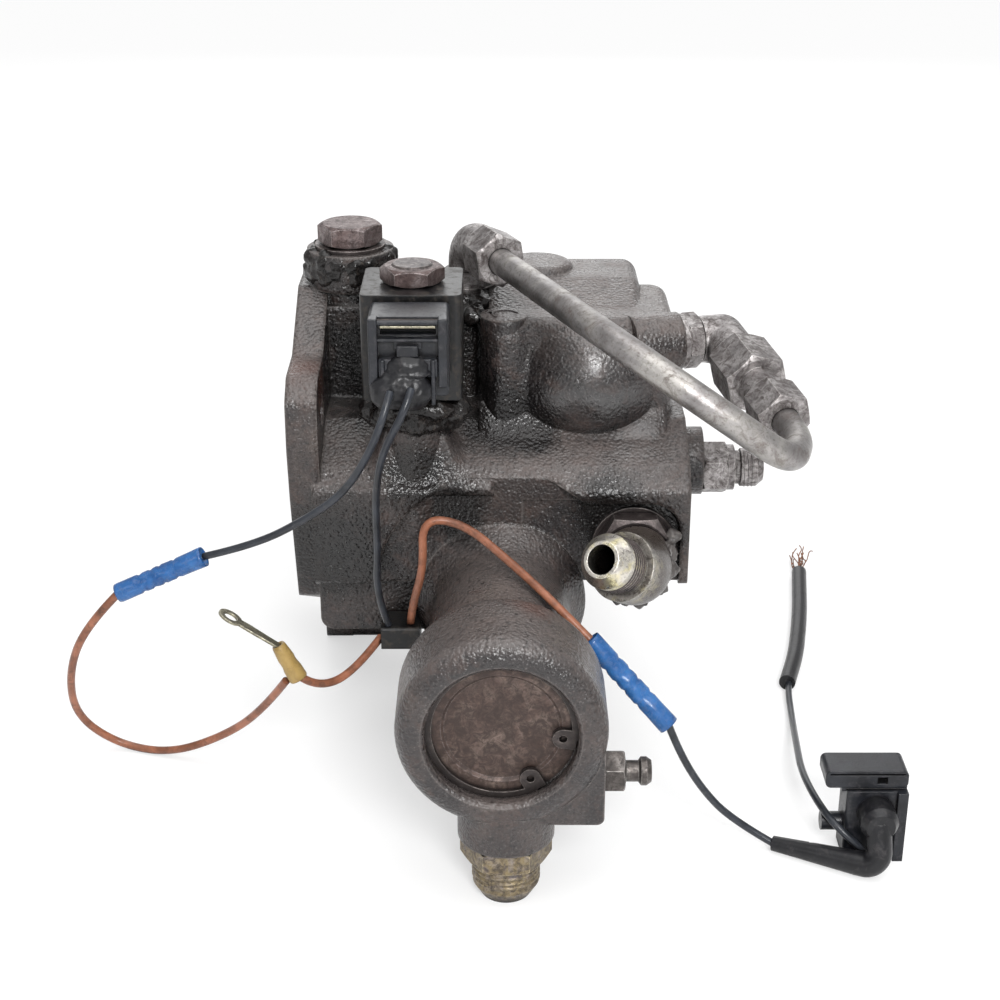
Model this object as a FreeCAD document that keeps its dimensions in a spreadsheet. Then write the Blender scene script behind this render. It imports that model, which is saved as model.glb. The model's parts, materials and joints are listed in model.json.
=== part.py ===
"""Clutch control valve: an iron housing with an inching piston and spool, a solenoid pilot valve,
an accumulator and a check valve, its pipe fittings, jumper tube and leads.

Frame, in millimetres: the origin lies on the face that bolts to the transmission case. X points away
from that face, Y to the back and Z up. The inching bore opens towards -Y.
"""
import FreeCAD, Part
import math
import os
import re
import Sketcher
from types import SimpleNamespace

Vector = FreeCAD.Vector
Rotation = FreeCAD.Rotation
Placement = FreeCAD.Placement

# Driving dimensions, in millimetres and degrees

SIZES = {
    # mounting flange, its outline given in Y and Z
    "flange_thick": 11.0,
    "flange_front": -35.0,
    "flange_back": 97.0,
    "flange_top": 66.0,
    "flange_crest_y": 20.0,
    "flange_shoulder_y": -9.0,
    "flange_shoulder_z": 49.0,
    "flange_chin_y": -23.0,
    "flange_chin_z": -39.0,
    "foot_front": 64.0,
    "foot_low": -103.3,
    "foot_high": -72.0,
    "foot_thick": 25.0,
    "bolt_hole_r": 5.5,
    "bolt_line_y": 84.0,
    "bolt_line_z": -20.0,
    "bolt_step": 70.0,
    "front_bolt_y": -19.0,
    "front_bolt_z": 32.0,
    # housing block behind the flange
    "block_right": 141.0,
    "block_front": -38.0,
    "block_back": 66.0,
    "block_low": -28.0,
    "ledge_front_z": 8.5,
    "ledge_z": 25.0,
    "ledge_back_y": -8.0,
    "deep_right": 99.0,
    "deep_front": -25.0,
    "deep_low": -52.0,
    "rear_left_right": 68.0,
    "rear_left_front": 14.0,
    "rear_left_top": 60.0,
    # upper casting over the accumulator
    "wall_left": 67.0,
    "wall_right": 136.5,
    "wall_front": -9.5,
    "wall_back": 40.0,
    "wall_top": 62.0,
    "hump_right": 126.5,
    "hump_slope_y": 30.0,
    "hump_back": 62.0,
    "hump_top": 66.5,
    "knob_x": 88.0,
    "knob_y": 44.0,
    "knob_r": 14.0,
    "knob_top": 69.2,
    "corner_boss_r": 8.5,
    "corner_boss_x": 75.5,
    "corner_boss_y": -3.5,
    "corner_boss_top": 62.6,
    "cast_round": 5.0,
    # inching bore, along Y
    "bore_x": 74.5,
    "bore_z": -36.0,
    "head_face": -130.0,
    "head_r": 33.8,
    "head_long": 31.0,
    "head_round": 6.0,
    "neck_r": 24.5,
    "neck_start": 46.0,
    "root_r": 30.4,
    "root_start": 88.0,
    "root_long": 8.0,
    "recess_r": 45.0,
    "recess_z": -30.0,
    "recess_deep": 4.0,
    "barrel_r": 22.0,
    "barrel_back": 74.0,
    "plug_bore_r": 24.3,
    "plug_bore_long": 21.0,
    "piston_bore_r": 16.0,
    "piston_bore_end": -30.0,
    "spool_bore_r": 9.05,
    "spool_bore_end": 50.0,
    "rear_bore_r": 13.0,
    "ring_groove_r": 25.6,
    "ring_groove_y": -124.9,
    "ring_thick": 1.6,
    "ring_in_r": 22.2,
    "ring_gap_turn": -35.0,
    "ring_gap_half": 27.0,
    "ring_lug_r": 3.4,
    "ring_eye_r": 1.3,
    "ring_eye_in": 19.6,
    # bosses on the head
    "lug_right": 107.5,
    "lug_back": -101.0,
    "lug_low": -70.0,
    "lug_high": -40.0,
    "lug_set_back": 4.0,
    "port_line_y": -113.5,
    "inlet_x": 76.0,
    "inlet_boss_r": 16.0,
    "inlet_boss_low": -80.4,
    "inlet_hex_long": 9.0,
    "inlet_stud_r": 11.0,
    "inlet_stud_long": 11.5,
    "inlet_hole_r": 4.0,
    "bleed_z": -57.5,
    # check valve, upright
    "check_x": 18.9,
    "check_y": 28.4,
    "check_boss_r": 15.9,
    "check_boss_top": 78.6,
    "check_collar_low": 65.0,
    "check_thread_r": 9.5,
    "check_thread_long": 14.0,
    "check_bore_r": 7.05,
    "check_seat_z": 34.0,
    "check_seat_r": 3.5,
    "check_inlet_z": 24.0,
    "check_outlet_z": 48.0,
    # solenoid valve, upright
    "pilot_x": 44.2,
    "pilot_y": -24.6,
    "pilot_boss_r": 11.0,
    "pilot_boss_top": 30.0,
    "pilot_thread_r": 8.5,
    "pilot_thread_long": 15.0,
    "pilot_spigot_r": 5.4,
    "pilot_spigot_end": -6.0,
    "pilot_drain_z": -4.0,
    # accumulator, along Y
    "store_x": 104.4,
    "store_z": 41.0,
    "store_bore_r": 14.0,
    "store_bore_start": -6.0,
    "store_boss_r": 19.5,
    "store_boss_back": 72.0,
    "bulge_r": 25.0,
    "bulge_x": 105.5,
    "bulge_y": 4.0,
    "bulge_z": 36.5,
    # front outlet, a 45 degree elbow in a pocket
    "outlet_x": 121.6,
    "outlet_z": -13.5,
    "pocket_left": 82.0,
    "pocket_right": 137.8,
    "pocket_top": 4.0,
    "pocket_deep": 5.0,
    "outlet_stud_r": 11.1,
    "outlet_stud_long": 12.0,
    # side ports
    "side_y": -2.0,
    "side_z": 3.3,
    "side_pad_right": 148.0,
    "side_pad_r": 12.5,
    "side_pad_z": 6.0,
    "jumper_port_yaw": 15.0,
    "jumper_elbow_x": 153.8,
    "jumper_elbow_y": 2.6,
    "jumper_elbow_z": 52.0,
    "jumper_elbow_reach": 17.0,
    "jumper_tilt": 10.0,
    "side_boss_r": 10.6,
    "top_elbow_x": 62.9,
    "top_elbow_y": 30.8,
    "top_elbow_z": 80.5,
    "top_boss_top": 62.5,
    "top_boss_r": 12.5,
    # common to the small ports and the tube fittings
    "stud_r": 7.05,
    "stud_long": 10.0,
    "port_hole_r": 4.0,
    "thread_gap": 0.1,
    "slide_gap": 0.05,
    "washer_thick": 1.5,
    "tube_r": 4.7625,
    "tube_wall": 1.25,
    "tube_nut_flats": 17.46,
    "tube_nut_long": 14.5,
    "small_flats": 17.46,
    "cone_tip_r": 4.9,
    "cone_long": 2.6,
    "fitting_hole_r": 3.6,
    # leads
    "black_lead_r": 1.3,
    "brown_lead_r": 1.45,
    "splice_r": 3.5,
    "splice_long": 37.0,
}
s = SimpleNamespace(**SIZES)

doc = FreeCAD.newDocument("clutch_control_valve")
sheet = doc.addObject("Spreadsheet::Sheet", "Sizes")
for row, (alias, number) in enumerate(SIZES.items(), 1):
    sheet.set(f"A{row}", alias)
    sheet.set(f"B{row}", str(number))
    sheet.setAlias(f"B{row}", alias)
doc.recompute()

PIECES = {}          # node name to document object

# Helpers: expressions, placing and simple solids

TURN = {
    "X": Rotation(Vector(0, 1, 0), 90),
    "-X": Rotation(Vector(0, 1, 0), -90),
    "Y": Rotation(Vector(1, 0, 0), -90),
    "-Y": Rotation(Vector(1, 0, 0), 90),
    "Z": Rotation(),
    "-Z": Rotation(Vector(1, 0, 0), 180),
}


def linked(text):
    """Turns plain size names in an expression into cells of the sheet."""
    return re.sub(r"[a-z_][a-z0-9_]*", lambda m: "Sizes." + m.group() if m.group() in SIZES else m.group(), str(text))


def bind(obj, **links):
    for path, text in links.items():
        obj.setExpression(path, linked(text))
    return obj


def place(obj, axis="Z", x=0, y=0, z=0):
    """Turns the piece's own Z to the named axis and ties its base point to the sheet."""
    obj.Placement = Placement(Vector(), TURN[axis])
    for key, text in zip("xyz", (x, y, z)):
        obj.setExpression(f"Placement.Base.{key}", linked(text))
    return obj


def aim(obj, start, direction):
    """Turns the piece's own Z to a free direction, its base point at start."""
    for key in "xyz":
        obj.setExpression(f"Placement.Base.{key}", None)
    obj.Placement = Placement(start, Rotation(Vector(0, 0, 1), direction))
    return obj


def rod(name, radius, length, axis="Z", x=0, y=0, z=0):
    return place(bind(doc.addObject("Part::Cylinder", name), Radius=radius, Height=length), axis, x, y, z)


def block(name, low, high):
    box = doc.addObject("Part::Box", name)
    lengths = [f"({b})-({a})" for a, b in zip(low, high)]
    return place(bind(box, Length=lengths[0], Width=lengths[1], Height=lengths[2]), "Z", *low)


def ball(name, radius, x, y, z):
    return place(bind(doc.addObject("Part::Sphere", name), Radius=radius), "Z", x, y, z)


def joined(name, *parts):
    fuse = doc.addObject("Part::MultiFuse", name)
    fuse.Shapes = list(parts)
    fuse.Refine = True
    return fuse


def stacked(name, kind, base, parts):
    """Adds or cuts the parts one after the other, each step an object of its own."""
    for i, part in enumerate(parts):
        step = doc.addObject(kind, name if i == len(parts) - 1 else f"{name}_{i}")
        step.Base = base
        step.Tool = part
        base = step
    base.Refine = True
    return base


def removed(name, base, *tools):
    cut = doc.addObject("Part::Cut", name)
    cut.Base = base
    cut.Tool = tools[0] if len(tools) == 1 else joined(name + "_tools", *tools)
    cut.Refine = True
    return cut


def shared(name, base, tool):
    common = doc.addObject("Part::Common", name)
    common.Base = base
    common.Tool = tool
    return common


def rounded(name, base, radius, chosen):
    """Rounds the edges of a piece for which chosen(edge) is true."""
    doc.recompute()
    fillet = doc.addObject("Part::Fillet", name)
    fillet.Base = base
    fillet.Edges = [(i, radius, radius) for i, edge in enumerate(base.Shape.Edges, 1) if chosen(edge)]
    return fillet


def along(axis):
    """Picks straight edges that run along one axis."""
    unit = {"x": Vector(1, 0, 0), "y": Vector(0, 1, 0), "z": Vector(0, 0, 1)}[axis]

    def chosen(edge):
        straight = edge.Curve.TypeId == "Part::GeomLine"
        return straight and abs(abs(edge.tangentAt(edge.FirstParameter).dot(unit)) - 1) < 1e-6

    return chosen


def upper_right_of(base):
    """Picks the edge along Y at the greatest X and Z of a block."""
    doc.recompute()
    box = base.Shape.BoundBox

    def chosen(edge):
        middle = edge.CenterOfMass
        return abs(middle.x - box.XMax) < 1e-6 and abs(middle.z - box.ZMax) < 1e-6

    return chosen


def at_top_of(base):
    """Picks the edges round the top of a piece."""
    doc.recompute()
    top = base.Shape.BoundBox.ZMax
    return lambda edge: abs(edge.CenterOfMass.z - top) < 1e-6


def pillowed(name, base, upright_r, top_r):
    """Rounds a block's upright edges, then the edges round its top."""
    upright = rounded(name + "_uprights", base, upright_r, along("z"))
    return rounded(name + "_round", upright, top_r, at_top_of(upright))


def circle_at(y, radius):
    """Picks the circle of this radius round the inching bore at this Y."""
    def chosen(edge):
        curve = edge.Curve
        return curve.TypeId == "Part::GeomCircle" and abs(curve.Radius - radius) < 1e-6 and abs(curve.Center.y - y) < 1e-6

    return chosen


def outline_sketch(body, role, points):
    """A closed outline on one of the body's own planes, each corner tied to the sheet."""
    sketch = body.newObject("Sketcher::SketchObject", body.Name + "_outline")
    plane = [feature for feature in body.Origin.OriginFeatures if feature.Role == role][0]
    sketch.AttachmentSupport = [(plane, "")]
    sketch.MapMode = "FlatFace"
    count = len(points)
    turn = 2 * math.pi / count
    start = [Vector(10 * math.cos(turn * i), 10 * math.sin(turn * i), 0) for i in range(count)]
    for i in range(count):
        sketch.addGeometry(Part.LineSegment(start[i], start[(i + 1) % count]), False)
    for i in range(count):
        sketch.addConstraint(Sketcher.Constraint("Coincident", i, 2, (i + 1) % count, 1))
    for i, point in enumerate(points):
        for kind, text, rough in zip(("DistanceX", "DistanceY"), point, start[i]):
            k = sketch.addConstraint(Sketcher.Constraint(kind, -1, 1, i, 1, rough))
            sketch.setExpression(f"Constraints[{k}]", linked(text))
    return sketch


def slab(name, points, length, start=0):
    """A plate or block of constant section along X, its outline given in Y and Z."""
    body = doc.addObject("PartDesign::Body", name)
    pad = body.newObject("PartDesign::Pad", name + "_pad")
    pad.Profile = outline_sketch(body, "YZ_Plane", points)
    bind(pad, Length=length)
    return place(body, "Z", start)


def turned(name, points):
    """A round piece turned about its own Z, its half outline given as radius and height."""
    body = doc.addObject("PartDesign::Body", name)
    sketch = outline_sketch(body, "XZ_Plane", points)
    turn = body.newObject("PartDesign::Revolution", name + "_turn")
    turn.Profile = sketch
    turn.ReferenceAxis = (sketch, ["V_Axis"])
    turn.Angle = 360
    return body


def ring(name, inner, outer, low, high):
    return turned(name, [(inner, low), (outer, low), (outer, high), (inner, high)])


def hexagon(name, flats, length, z=0, crown=True):
    """A hexagon bar of the given width across flats, its corners taken off at both ends."""
    prism = doc.addObject("Part::Prism", name + "_prism")
    prism.Polygon = 6
    place(bind(prism, Circumradius=f"({flats})/sqrt(3)", Height=length), "Z", 0, 0, z)
    if not crown:
        return prism
    corner = f"({flats})/sqrt(3)"
    flat_r = f"({flats})*0.475"
    drop = f"({flats})*0.055"
    turning = turned(name + "_crown", [
        ("0", f"{z}"), (flat_r, f"{z}"), (corner, f"{z}+{drop}"),
        (corner, f"{z}+{length}-{drop}"), (flat_r, f"{z}+{length}"), ("0", f"{z}+{length}")])
    return shared(name, prism, turning)


def kept(node, obj):
    obj.Label = node
    PIECES[node] = obj
    return obj


# Housing: the flange, the block, the upper casting, the inching neck and head, and their bosses

def housing():
    flange = slab("flange", [
        ("flange_shoulder_y", "flange_shoulder_z"),
        ("flange_shoulder_y-20", "flange_shoulder_z-1"),
        ("flange_front-2", "flange_shoulder_z-8"),
        ("flange_front-3", "flange_shoulder_z-25"),
        ("flange_front", "flange_chin_z+43"),
        ("flange_chin_y", "flange_chin_z"),
        ("foot_front-3", "foot_low+21"),
        ("foot_front", "foot_low"),
        ("flange_back", "foot_low"),
        ("flange_back", "flange_top-12"),
        ("flange_back-12", "flange_top"),
        ("flange_crest_y", "flange_top")], "flange_thick")
    flange = rounded("flange_round", flange, s.cast_round * 0.8, along("x"))
    foot = block("foot", ("0", "foot_front", "foot_low"), ("foot_thick", "flange_back", "foot_high"))
    foot = rounded("foot_round", foot, s.cast_round * 0.8, along("x"))
    block_start = "flange_thick-3"
    main = slab("main_block", [
        ("block_front", "block_low"),
        ("block_front", "ledge_front_z"),
        ("block_front+7", "ledge_front_z+7"),
        ("ledge_back_y", "ledge_z"),
        ("block_back", "ledge_z"),
        ("block_back", "block_low")], f"block_right-({block_start})", block_start)
    main = rounded("main_block_round", main, s.cast_round * 0.6, along("x"))
    pocket = block("outlet_pocket", ("pocket_left", "block_front-1", "block_low-1"),
                   ("pocket_right", "block_front+pocket_deep", "pocket_top"))
    pocket = rounded("outlet_pocket_round", pocket, 11.0, upper_right_of(pocket))
    recess = rod("neck_recess", "recess_r", "recess_deep+1", "Y", "bore_x", "block_front-1", "recess_z")
    main = removed("main_block_pocketed", main, pocket, recess)
    deep = block("deep_block", (block_start, "deep_front", "deep_low"), ("deep_right", "block_back", "block_low+8"))
    deep = rounded("deep_block_round", deep, s.cast_round, along("y"))
    rear_left = block("rear_left_block", (block_start, "rear_left_front", "ledge_z-5"),
                      ("rear_left_right", "block_back", "rear_left_top"))
    rear_left = rounded("rear_left_round", rear_left, s.cast_round, along("z"))
    wall = block("upper_wall", ("wall_left", "wall_front", "ledge_z-8"), ("wall_right", "wall_back", "wall_top"))
    wall = pillowed("upper_wall", wall, 7.0, 5.0)
    hump = slab("upper_hump", [
        ("wall_front+6", "ledge_z-5"), ("wall_front+6", "wall_top-1.5"), ("hump_slope_y", "hump_top"),
        ("hump_back-7", "hump_top"), ("hump_back", "hump_top-7"), ("hump_back", "ledge_z-5")],
        "hump_right-wall_left-3", "wall_left+3")
    hump = rounded("upper_hump_round", hump, 6.0, lambda edge: abs(edge.CenterOfMass.x - s.hump_right) < 1e-6
                   and edge.CenterOfMass.z > s.wall_top - 1)
    knob = rod("upper_knob", "knob_r", "knob_top-ledge_z", "Z", "knob_x", "knob_y", "ledge_z")
    knob = rounded("upper_knob_round", knob, 4.0, at_top_of(knob))
    corner_boss = rod("corner_boss", "corner_boss_r", "corner_boss_top-ledge_z+10", "Z",
                      "corner_boss_x", "corner_boss_y", "ledge_z-10")
    bulge = ball("bulge", "bulge_r", "bulge_x", "bulge_y", "bulge_z")
    check_boss = rod("check_boss", "check_boss_r", "check_boss_top-check_collar_low", "Z",
                     "check_x", "check_y", "check_collar_low")
    check_neck = rod("check_neck", "check_boss_r-2.5", "check_boss_top-rear_left_top+6", "Z",
                     "check_x", "check_y", "rear_left_top-8")
    pilot_boss = rod("pilot_boss", "pilot_boss_r", "pilot_boss_top+10", "Z", "pilot_x", "pilot_y", "-10")
    top_boss = rod("top_boss", "top_boss_r", "12", "Z", "top_elbow_x", "top_elbow_y", "top_boss_top-12")
    side_boss = rod("side_boss", "side_boss_r", "18")
    aim(side_boss, side_port() - port_way() * 18, port_way())
    side_pad = rod("side_pad", "side_pad_r", "side_pad_right-block_right+6", "X",
                   "block_right-6", "side_y", "side_pad_z")
    neck = place(turned("neck_outline", [
        ("0", "0"), ("head_r", "0"), ("head_r", "head_long"), ("neck_r", "neck_start"), ("neck_r", "root_start"),
        ("root_r", "root_start+root_long"), ("root_r", "root_start+root_long+5"), ("0", "root_start+root_long+5")]),
        "Y", "bore_x", "head_face", "bore_z")
    for name, radius, at, size in (("head_rim", s.head_round, s.head_face, s.head_r),
                                   ("head_back", 9.0, s.head_face + s.head_long, s.head_r),
                                   ("neck_front", 14.0, s.head_face + s.neck_start, s.neck_r),
                                   ("neck", 12.0, s.head_face + s.root_start, s.neck_r)):
        neck = rounded(name, neck, radius, circle_at(at, size))
    barrel = rod("barrel", "barrel_r", "barrel_back-block_front", "Y", "bore_x", "block_front", "bore_z")
    lug = block("head_lug", ("bore_x", "head_face+lug_set_back", "lug_low"), ("lug_right", "lug_back", "lug_high"))
    lug = rounded("head_lug_round", lug, 2.5, along("y"))
    inlet_boss = rod("inlet_boss", "inlet_boss_r", "20", "Z", "inlet_x", "port_line_y", "inlet_boss_low")
    store_boss = rod("store_boss", "store_boss_r", "store_boss_back-block_back+10", "Y",
                     "store_x", "block_back-10", "store_z")
    casting = stacked("casting", "Part::Fuse", flange, [
        foot, main, deep, rear_left, wall, hump, knob, corner_boss, bulge, check_neck, check_boss, pilot_boss,
        top_boss, side_boss, side_pad, neck, barrel, lug, inlet_boss, store_boss])
    return kept("valve_body", removed("valve_body", casting, *housing_cuts()))


def port_way():
    """The way the upper side port faces: to the right, turned a little to the back."""
    yaw = math.radians(s.jumper_port_yaw)
    return Vector(math.cos(yaw), math.sin(yaw), 0)


def side_port():
    elbow = Vector(s.jumper_elbow_x, s.jumper_elbow_y, s.jumper_elbow_z)
    return elbow - port_way() * s.jumper_elbow_reach


def housing_cuts():
    cuts = []
    bores = turned("inching_bores", [
        ("0", "0"), ("plug_bore_r", "0"), ("plug_bore_r", "plug_bore_long"),
        ("piston_bore_r", "plug_bore_long"), ("piston_bore_r", "piston_bore_end-head_face"),
        ("spool_bore_r", "piston_bore_end-head_face"), ("spool_bore_r", "spool_bore_end-head_face"),
        ("rear_bore_r", "spool_bore_end-head_face"), ("rear_bore_r", "barrel_back-head_face"),
        ("0", "barrel_back-head_face")])
    cuts.append(place(bores, "Y", "bore_x", "head_face", "bore_z"))
    cuts.append(rod("ring_groove", "ring_groove_r", "ring_thick+2*slide_gap", "Y",
                    "bore_x", "ring_groove_y-slide_gap", "bore_z"))
    cuts.append(place(turned("bore_chamfer", [
        ("0", "0"), ("plug_bore_r+1.2", "0"), ("plug_bore_r", "1.2"), ("0", "1.2")]),
        "Y", "bore_x", "head_face", "bore_z"))
    # inlet under the head and the bleed hole in its side
    cuts.append(rod("inlet_port", "inlet_stud_r+thread_gap", "inlet_stud_long+0.5", "Z",
                    "inlet_x", "port_line_y", "inlet_boss_low"))
    cuts.append(rod("inlet_hole", "inlet_hole_r", "bore_z-inlet_boss_low", "Z",
                    "inlet_x", "port_line_y", "inlet_boss_low"))
    cuts.append(rod("bleed_port", "3.9+thread_gap", "8.5", "-X", "lug_right", "port_line_y", "bleed_z"))
    cuts.append(rod("bleed_hole", "1.5", "lug_right-bore_x", "-X", "lug_right", "port_line_y", "bleed_z"))
    # check valve
    cuts.append(rod("check_thread", "check_thread_r+thread_gap", "check_thread_long+0.6", "-Z",
                    "check_x", "check_y", "check_boss_top"))
    cuts.append(rod("check_bore", "check_bore_r", "check_boss_top-check_seat_z", "-Z",
                    "check_x", "check_y", "check_boss_top"))
    cuts.append(rod("check_seat", "check_seat_r", "check_seat_z-check_inlet_z+2", "Z",
                    "check_x", "check_y", "check_inlet_z-2"))
    cuts.append(rod("check_inlet", "port_hole_r+1", "check_x+2", "X", 0, "check_y", "check_inlet_z"))
    cuts.append(rod("check_outlet", "port_hole_r", "check_x", "X", 0, "check_y", "check_outlet_z"))
    # solenoid valve
    cuts.append(rod("pilot_thread", "pilot_thread_r+thread_gap", "pilot_thread_long+0.6", "-Z",
                    "pilot_x", "pilot_y", "pilot_boss_top"))
    cuts.append(rod("pilot_bore", "pilot_spigot_r+thread_gap", "pilot_boss_top-pilot_spigot_end+3", "-Z",
                    "pilot_x", "pilot_y", "pilot_boss_top"))
    cuts.append(rod("pilot_drain", "port_hole_r", "pilot_x", "X", 0, "pilot_y", "pilot_drain_z"))
    # accumulator
    cuts.append(rod("store_bore", "store_bore_r", "store_boss_back-store_bore_start", "Y",
                    "store_x", "store_bore_start", "store_z"))
    # working ports of the spool, drilled from the mounting face
    for name, y in (("supply", "-10"), ("clutch", "22")):
        cuts.append(rod(name + "_port", "port_hole_r+2", "bore_x", "X", 0, y, "bore_z"))
    # front outlet in its arched pocket
    cuts.append(rod("outlet_port", "outlet_stud_r+thread_gap", "outlet_stud_long+0.5", "Y",
                    "outlet_x", "block_front+pocket_deep", "outlet_z"))
    cuts.append(rod("outlet_hole", "port_hole_r+1.5", "55", "Y", "outlet_x", "block_front+pocket_deep", "outlet_z"))
    cuts.append(rod("outlet_gallery", "port_hole_r", "outlet_x-bore_x", "X", "bore_x", "22", "outlet_z"))
    cuts.append(rod("outlet_riser", "port_hole_r", "outlet_z-bore_z", "Z", "bore_x", "22", "bore_z"))
    # small side ports
    cuts.append(rod("side_port", "stud_r+thread_gap", "stud_long+0.5", "-X", "side_pad_right", "side_y", "side_z"))
    cuts.append(rod("side_hole", "port_hole_r", "side_pad_right-bore_x", "-X", "side_pad_right", "side_y", "side_z"))
    cuts.append(rod("side_riser", "port_hole_r", "side_z-bore_z", "Z", "bore_x", "side_y", "bore_z"))
    cuts.append(aim(rod("jumper_port", "stud_r+thread_gap", "stud_long+0.5"), side_port(), port_way() * -1))
    cuts.append(aim(rod("jumper_hole", "port_hole_r-1", "22"), side_port(), port_way() * -1))
    cuts.append(aim(rod("jumper_spot_face", "side_boss_r-0.5", "14"), side_port(), port_way()))
    cuts.append(rod("top_spot_face", "top_boss_r-0.3", "16", "Z", "top_elbow_x", "top_elbow_y", "top_boss_top"))
    cuts.append(rod("top_port", "stud_r+thread_gap", "stud_long+0.5", "-Z",
                    "top_elbow_x", "top_elbow_y", "top_boss_top"))
    cuts.append(rod("top_hole", "port_hole_r-1", "top_boss_top-store_z+20", "-Z",
                    "top_elbow_x", "top_elbow_y", "top_boss_top"))
    # bolt holes
    for i in range(3):
        cuts.append(rod(f"bolt_hole_{i}", "bolt_hole_r", "foot_thick+1", "X",
                        0, "bolt_line_y", f"bolt_line_z+{i - 1}*bolt_step"))
    cuts.append(rod("bolt_hole_front", "bolt_hole_r", "flange_thick", "X", 0, "front_bolt_y", "front_bolt_z"))
    return cuts


# Inching valve: end plug, piston, spool and their springs, all on the bore's line along Y

STROKE = 10.0                       # travel of the inching piston
PLUG_Y = "ring_groove_y+ring_thick+slide_gap"


def spring(node, mean_r, wire, turns, low, high, axis, at):
    """A compression spring of square wire, built as straight chords, twelve to a turn."""
    steps = 12 * turns
    half = wire / 2
    rise = (high - low - wire) / steps
    sections = []
    for i in range(steps + 1):
        angle = 2 * math.pi * i / 12
        out = Vector(math.cos(angle), math.sin(angle), 0)
        middle = out * mean_r + Vector(0, 0, low + half + rise * i)
        corners = [middle + out * (half * a) + Vector(0, 0, half * b) for a, b in ((-1, -1), (1, -1), (1, 1), (-1, 1))]
        sections.append(Part.makePolygon(corners + corners[:1]))
    obj = doc.addObject("Part::Feature", node)
    obj.Shape = Part.makeLoft(sections, True, True)
    obj.Placement = Placement(Vector(*at), TURN[axis])
    return kept(node, obj)


def inching_valve():
    bore = (s.bore_x, 0, s.bore_z)
    plug_y = s.ring_groove_y + s.ring_thick + s.slide_gap
    piston_y = s.head_face + s.plug_bore_long
    groove_r = "plug_bore_r-2.1"
    kept("end_plug", place(turned("end_plug", [
        ("0", "0.8"), ("plug_bore_r-6", "0.8"), ("plug_bore_r-5", "0"), ("plug_bore_r-thread_gap", "0"),
        ("plug_bore_r-thread_gap", "1.4"), (groove_r, "1.4"), (groove_r, "4.2"),
        ("plug_bore_r-thread_gap", "4.2"), ("plug_bore_r-thread_gap", "5.6"), ("11", "5.6"),
        ("11", f"head_face+plug_bore_long-({PLUG_Y})"), ("0", f"head_face+plug_bore_long-({PLUG_Y})")]),
        "Y", "bore_x", PLUG_Y, "bore_z"))
    kept("end_plug_seal", place(turned("end_plug_seal", [
        ("plug_bore_r-2.08", "0.4"), ("plug_bore_r-1.5", "0"), ("plug_bore_r-0.6", "0"), ("plug_bore_r-0.02", "0.5"),
        ("plug_bore_r-0.02", "1.5"), ("plug_bore_r-0.6", "2"), ("plug_bore_r-1.5", "2"), ("plug_bore_r-2.08", "1.6")]),
        "Y", "bore_x", f"{PLUG_Y}+1.8", "bore_z"))
    snap_ring(bore)

    piston_long = 22.0
    stem_end = s.piston_bore_end - 10.0
    kept("inching_piston", place(turned("inching_piston", [
        ("0", "0"), ("piston_bore_r-1.5", "0"), ("piston_bore_r-slide_gap", "1.5"),
        ("piston_bore_r-slide_gap", "6"), ("piston_bore_r-3", "6"), ("piston_bore_r-3", "10"),
        ("piston_bore_r-slide_gap", "10"), ("piston_bore_r-slide_gap", f"{piston_long}"),
        ("9", f"{piston_long}"), ("9", f"{piston_long}+3"), ("5", f"{piston_long}+3"),
        ("5", f"piston_bore_end-10-head_face-plug_bore_long"), ("0", "piston_bore_end-10-head_face-plug_bore_long")]),
        "Y", "bore_x", "head_face+plug_bore_long", "bore_z"))
    kept("piston_cup_seal", place(turned("piston_cup_seal", [
        ("piston_bore_r-3", "6.1"), ("piston_bore_r-1.2", "6.1"), ("piston_bore_r-0.02", "7.6"),
        ("piston_bore_r-0.02", "9.9"), ("piston_bore_r-3", "9.9")]),
        "Y", "bore_x", "head_face+plug_bore_long", "bore_z"))
    spring("piston_spring", 12.6, 2.4, 6, piston_y + piston_long, s.piston_bore_end, "Y", bore)

    land = "spool_bore_r-slide_gap"
    kept("main_spool", place(turned("main_spool", [
        ("0", "0"), ("6", "0"), ("7", "1"), ("7", "8"), (land, "9"), (land, "20"), ("6.2", "22"), ("6.2", "40"),
        (land, "42"), (land, "52"), ("6.2", "54"), ("6.2", "68"), (land, "70"), (land, "78"),
        ("4.5", "78"), ("4.5", "84"), ("0", "84")]),
        "Y", "bore_x", "piston_bore_end-10", "bore_z"))
    spool_back = stem_end + 78
    spring("spool_spring", 7.0, 1.8, 6, spool_back, s.barrel_back - 6, "Y", bore)
    closing_plug("spool_end_plug", "rear_bore_r", 27.0, "barrel_back", "bore_x", "bore_z")


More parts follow.
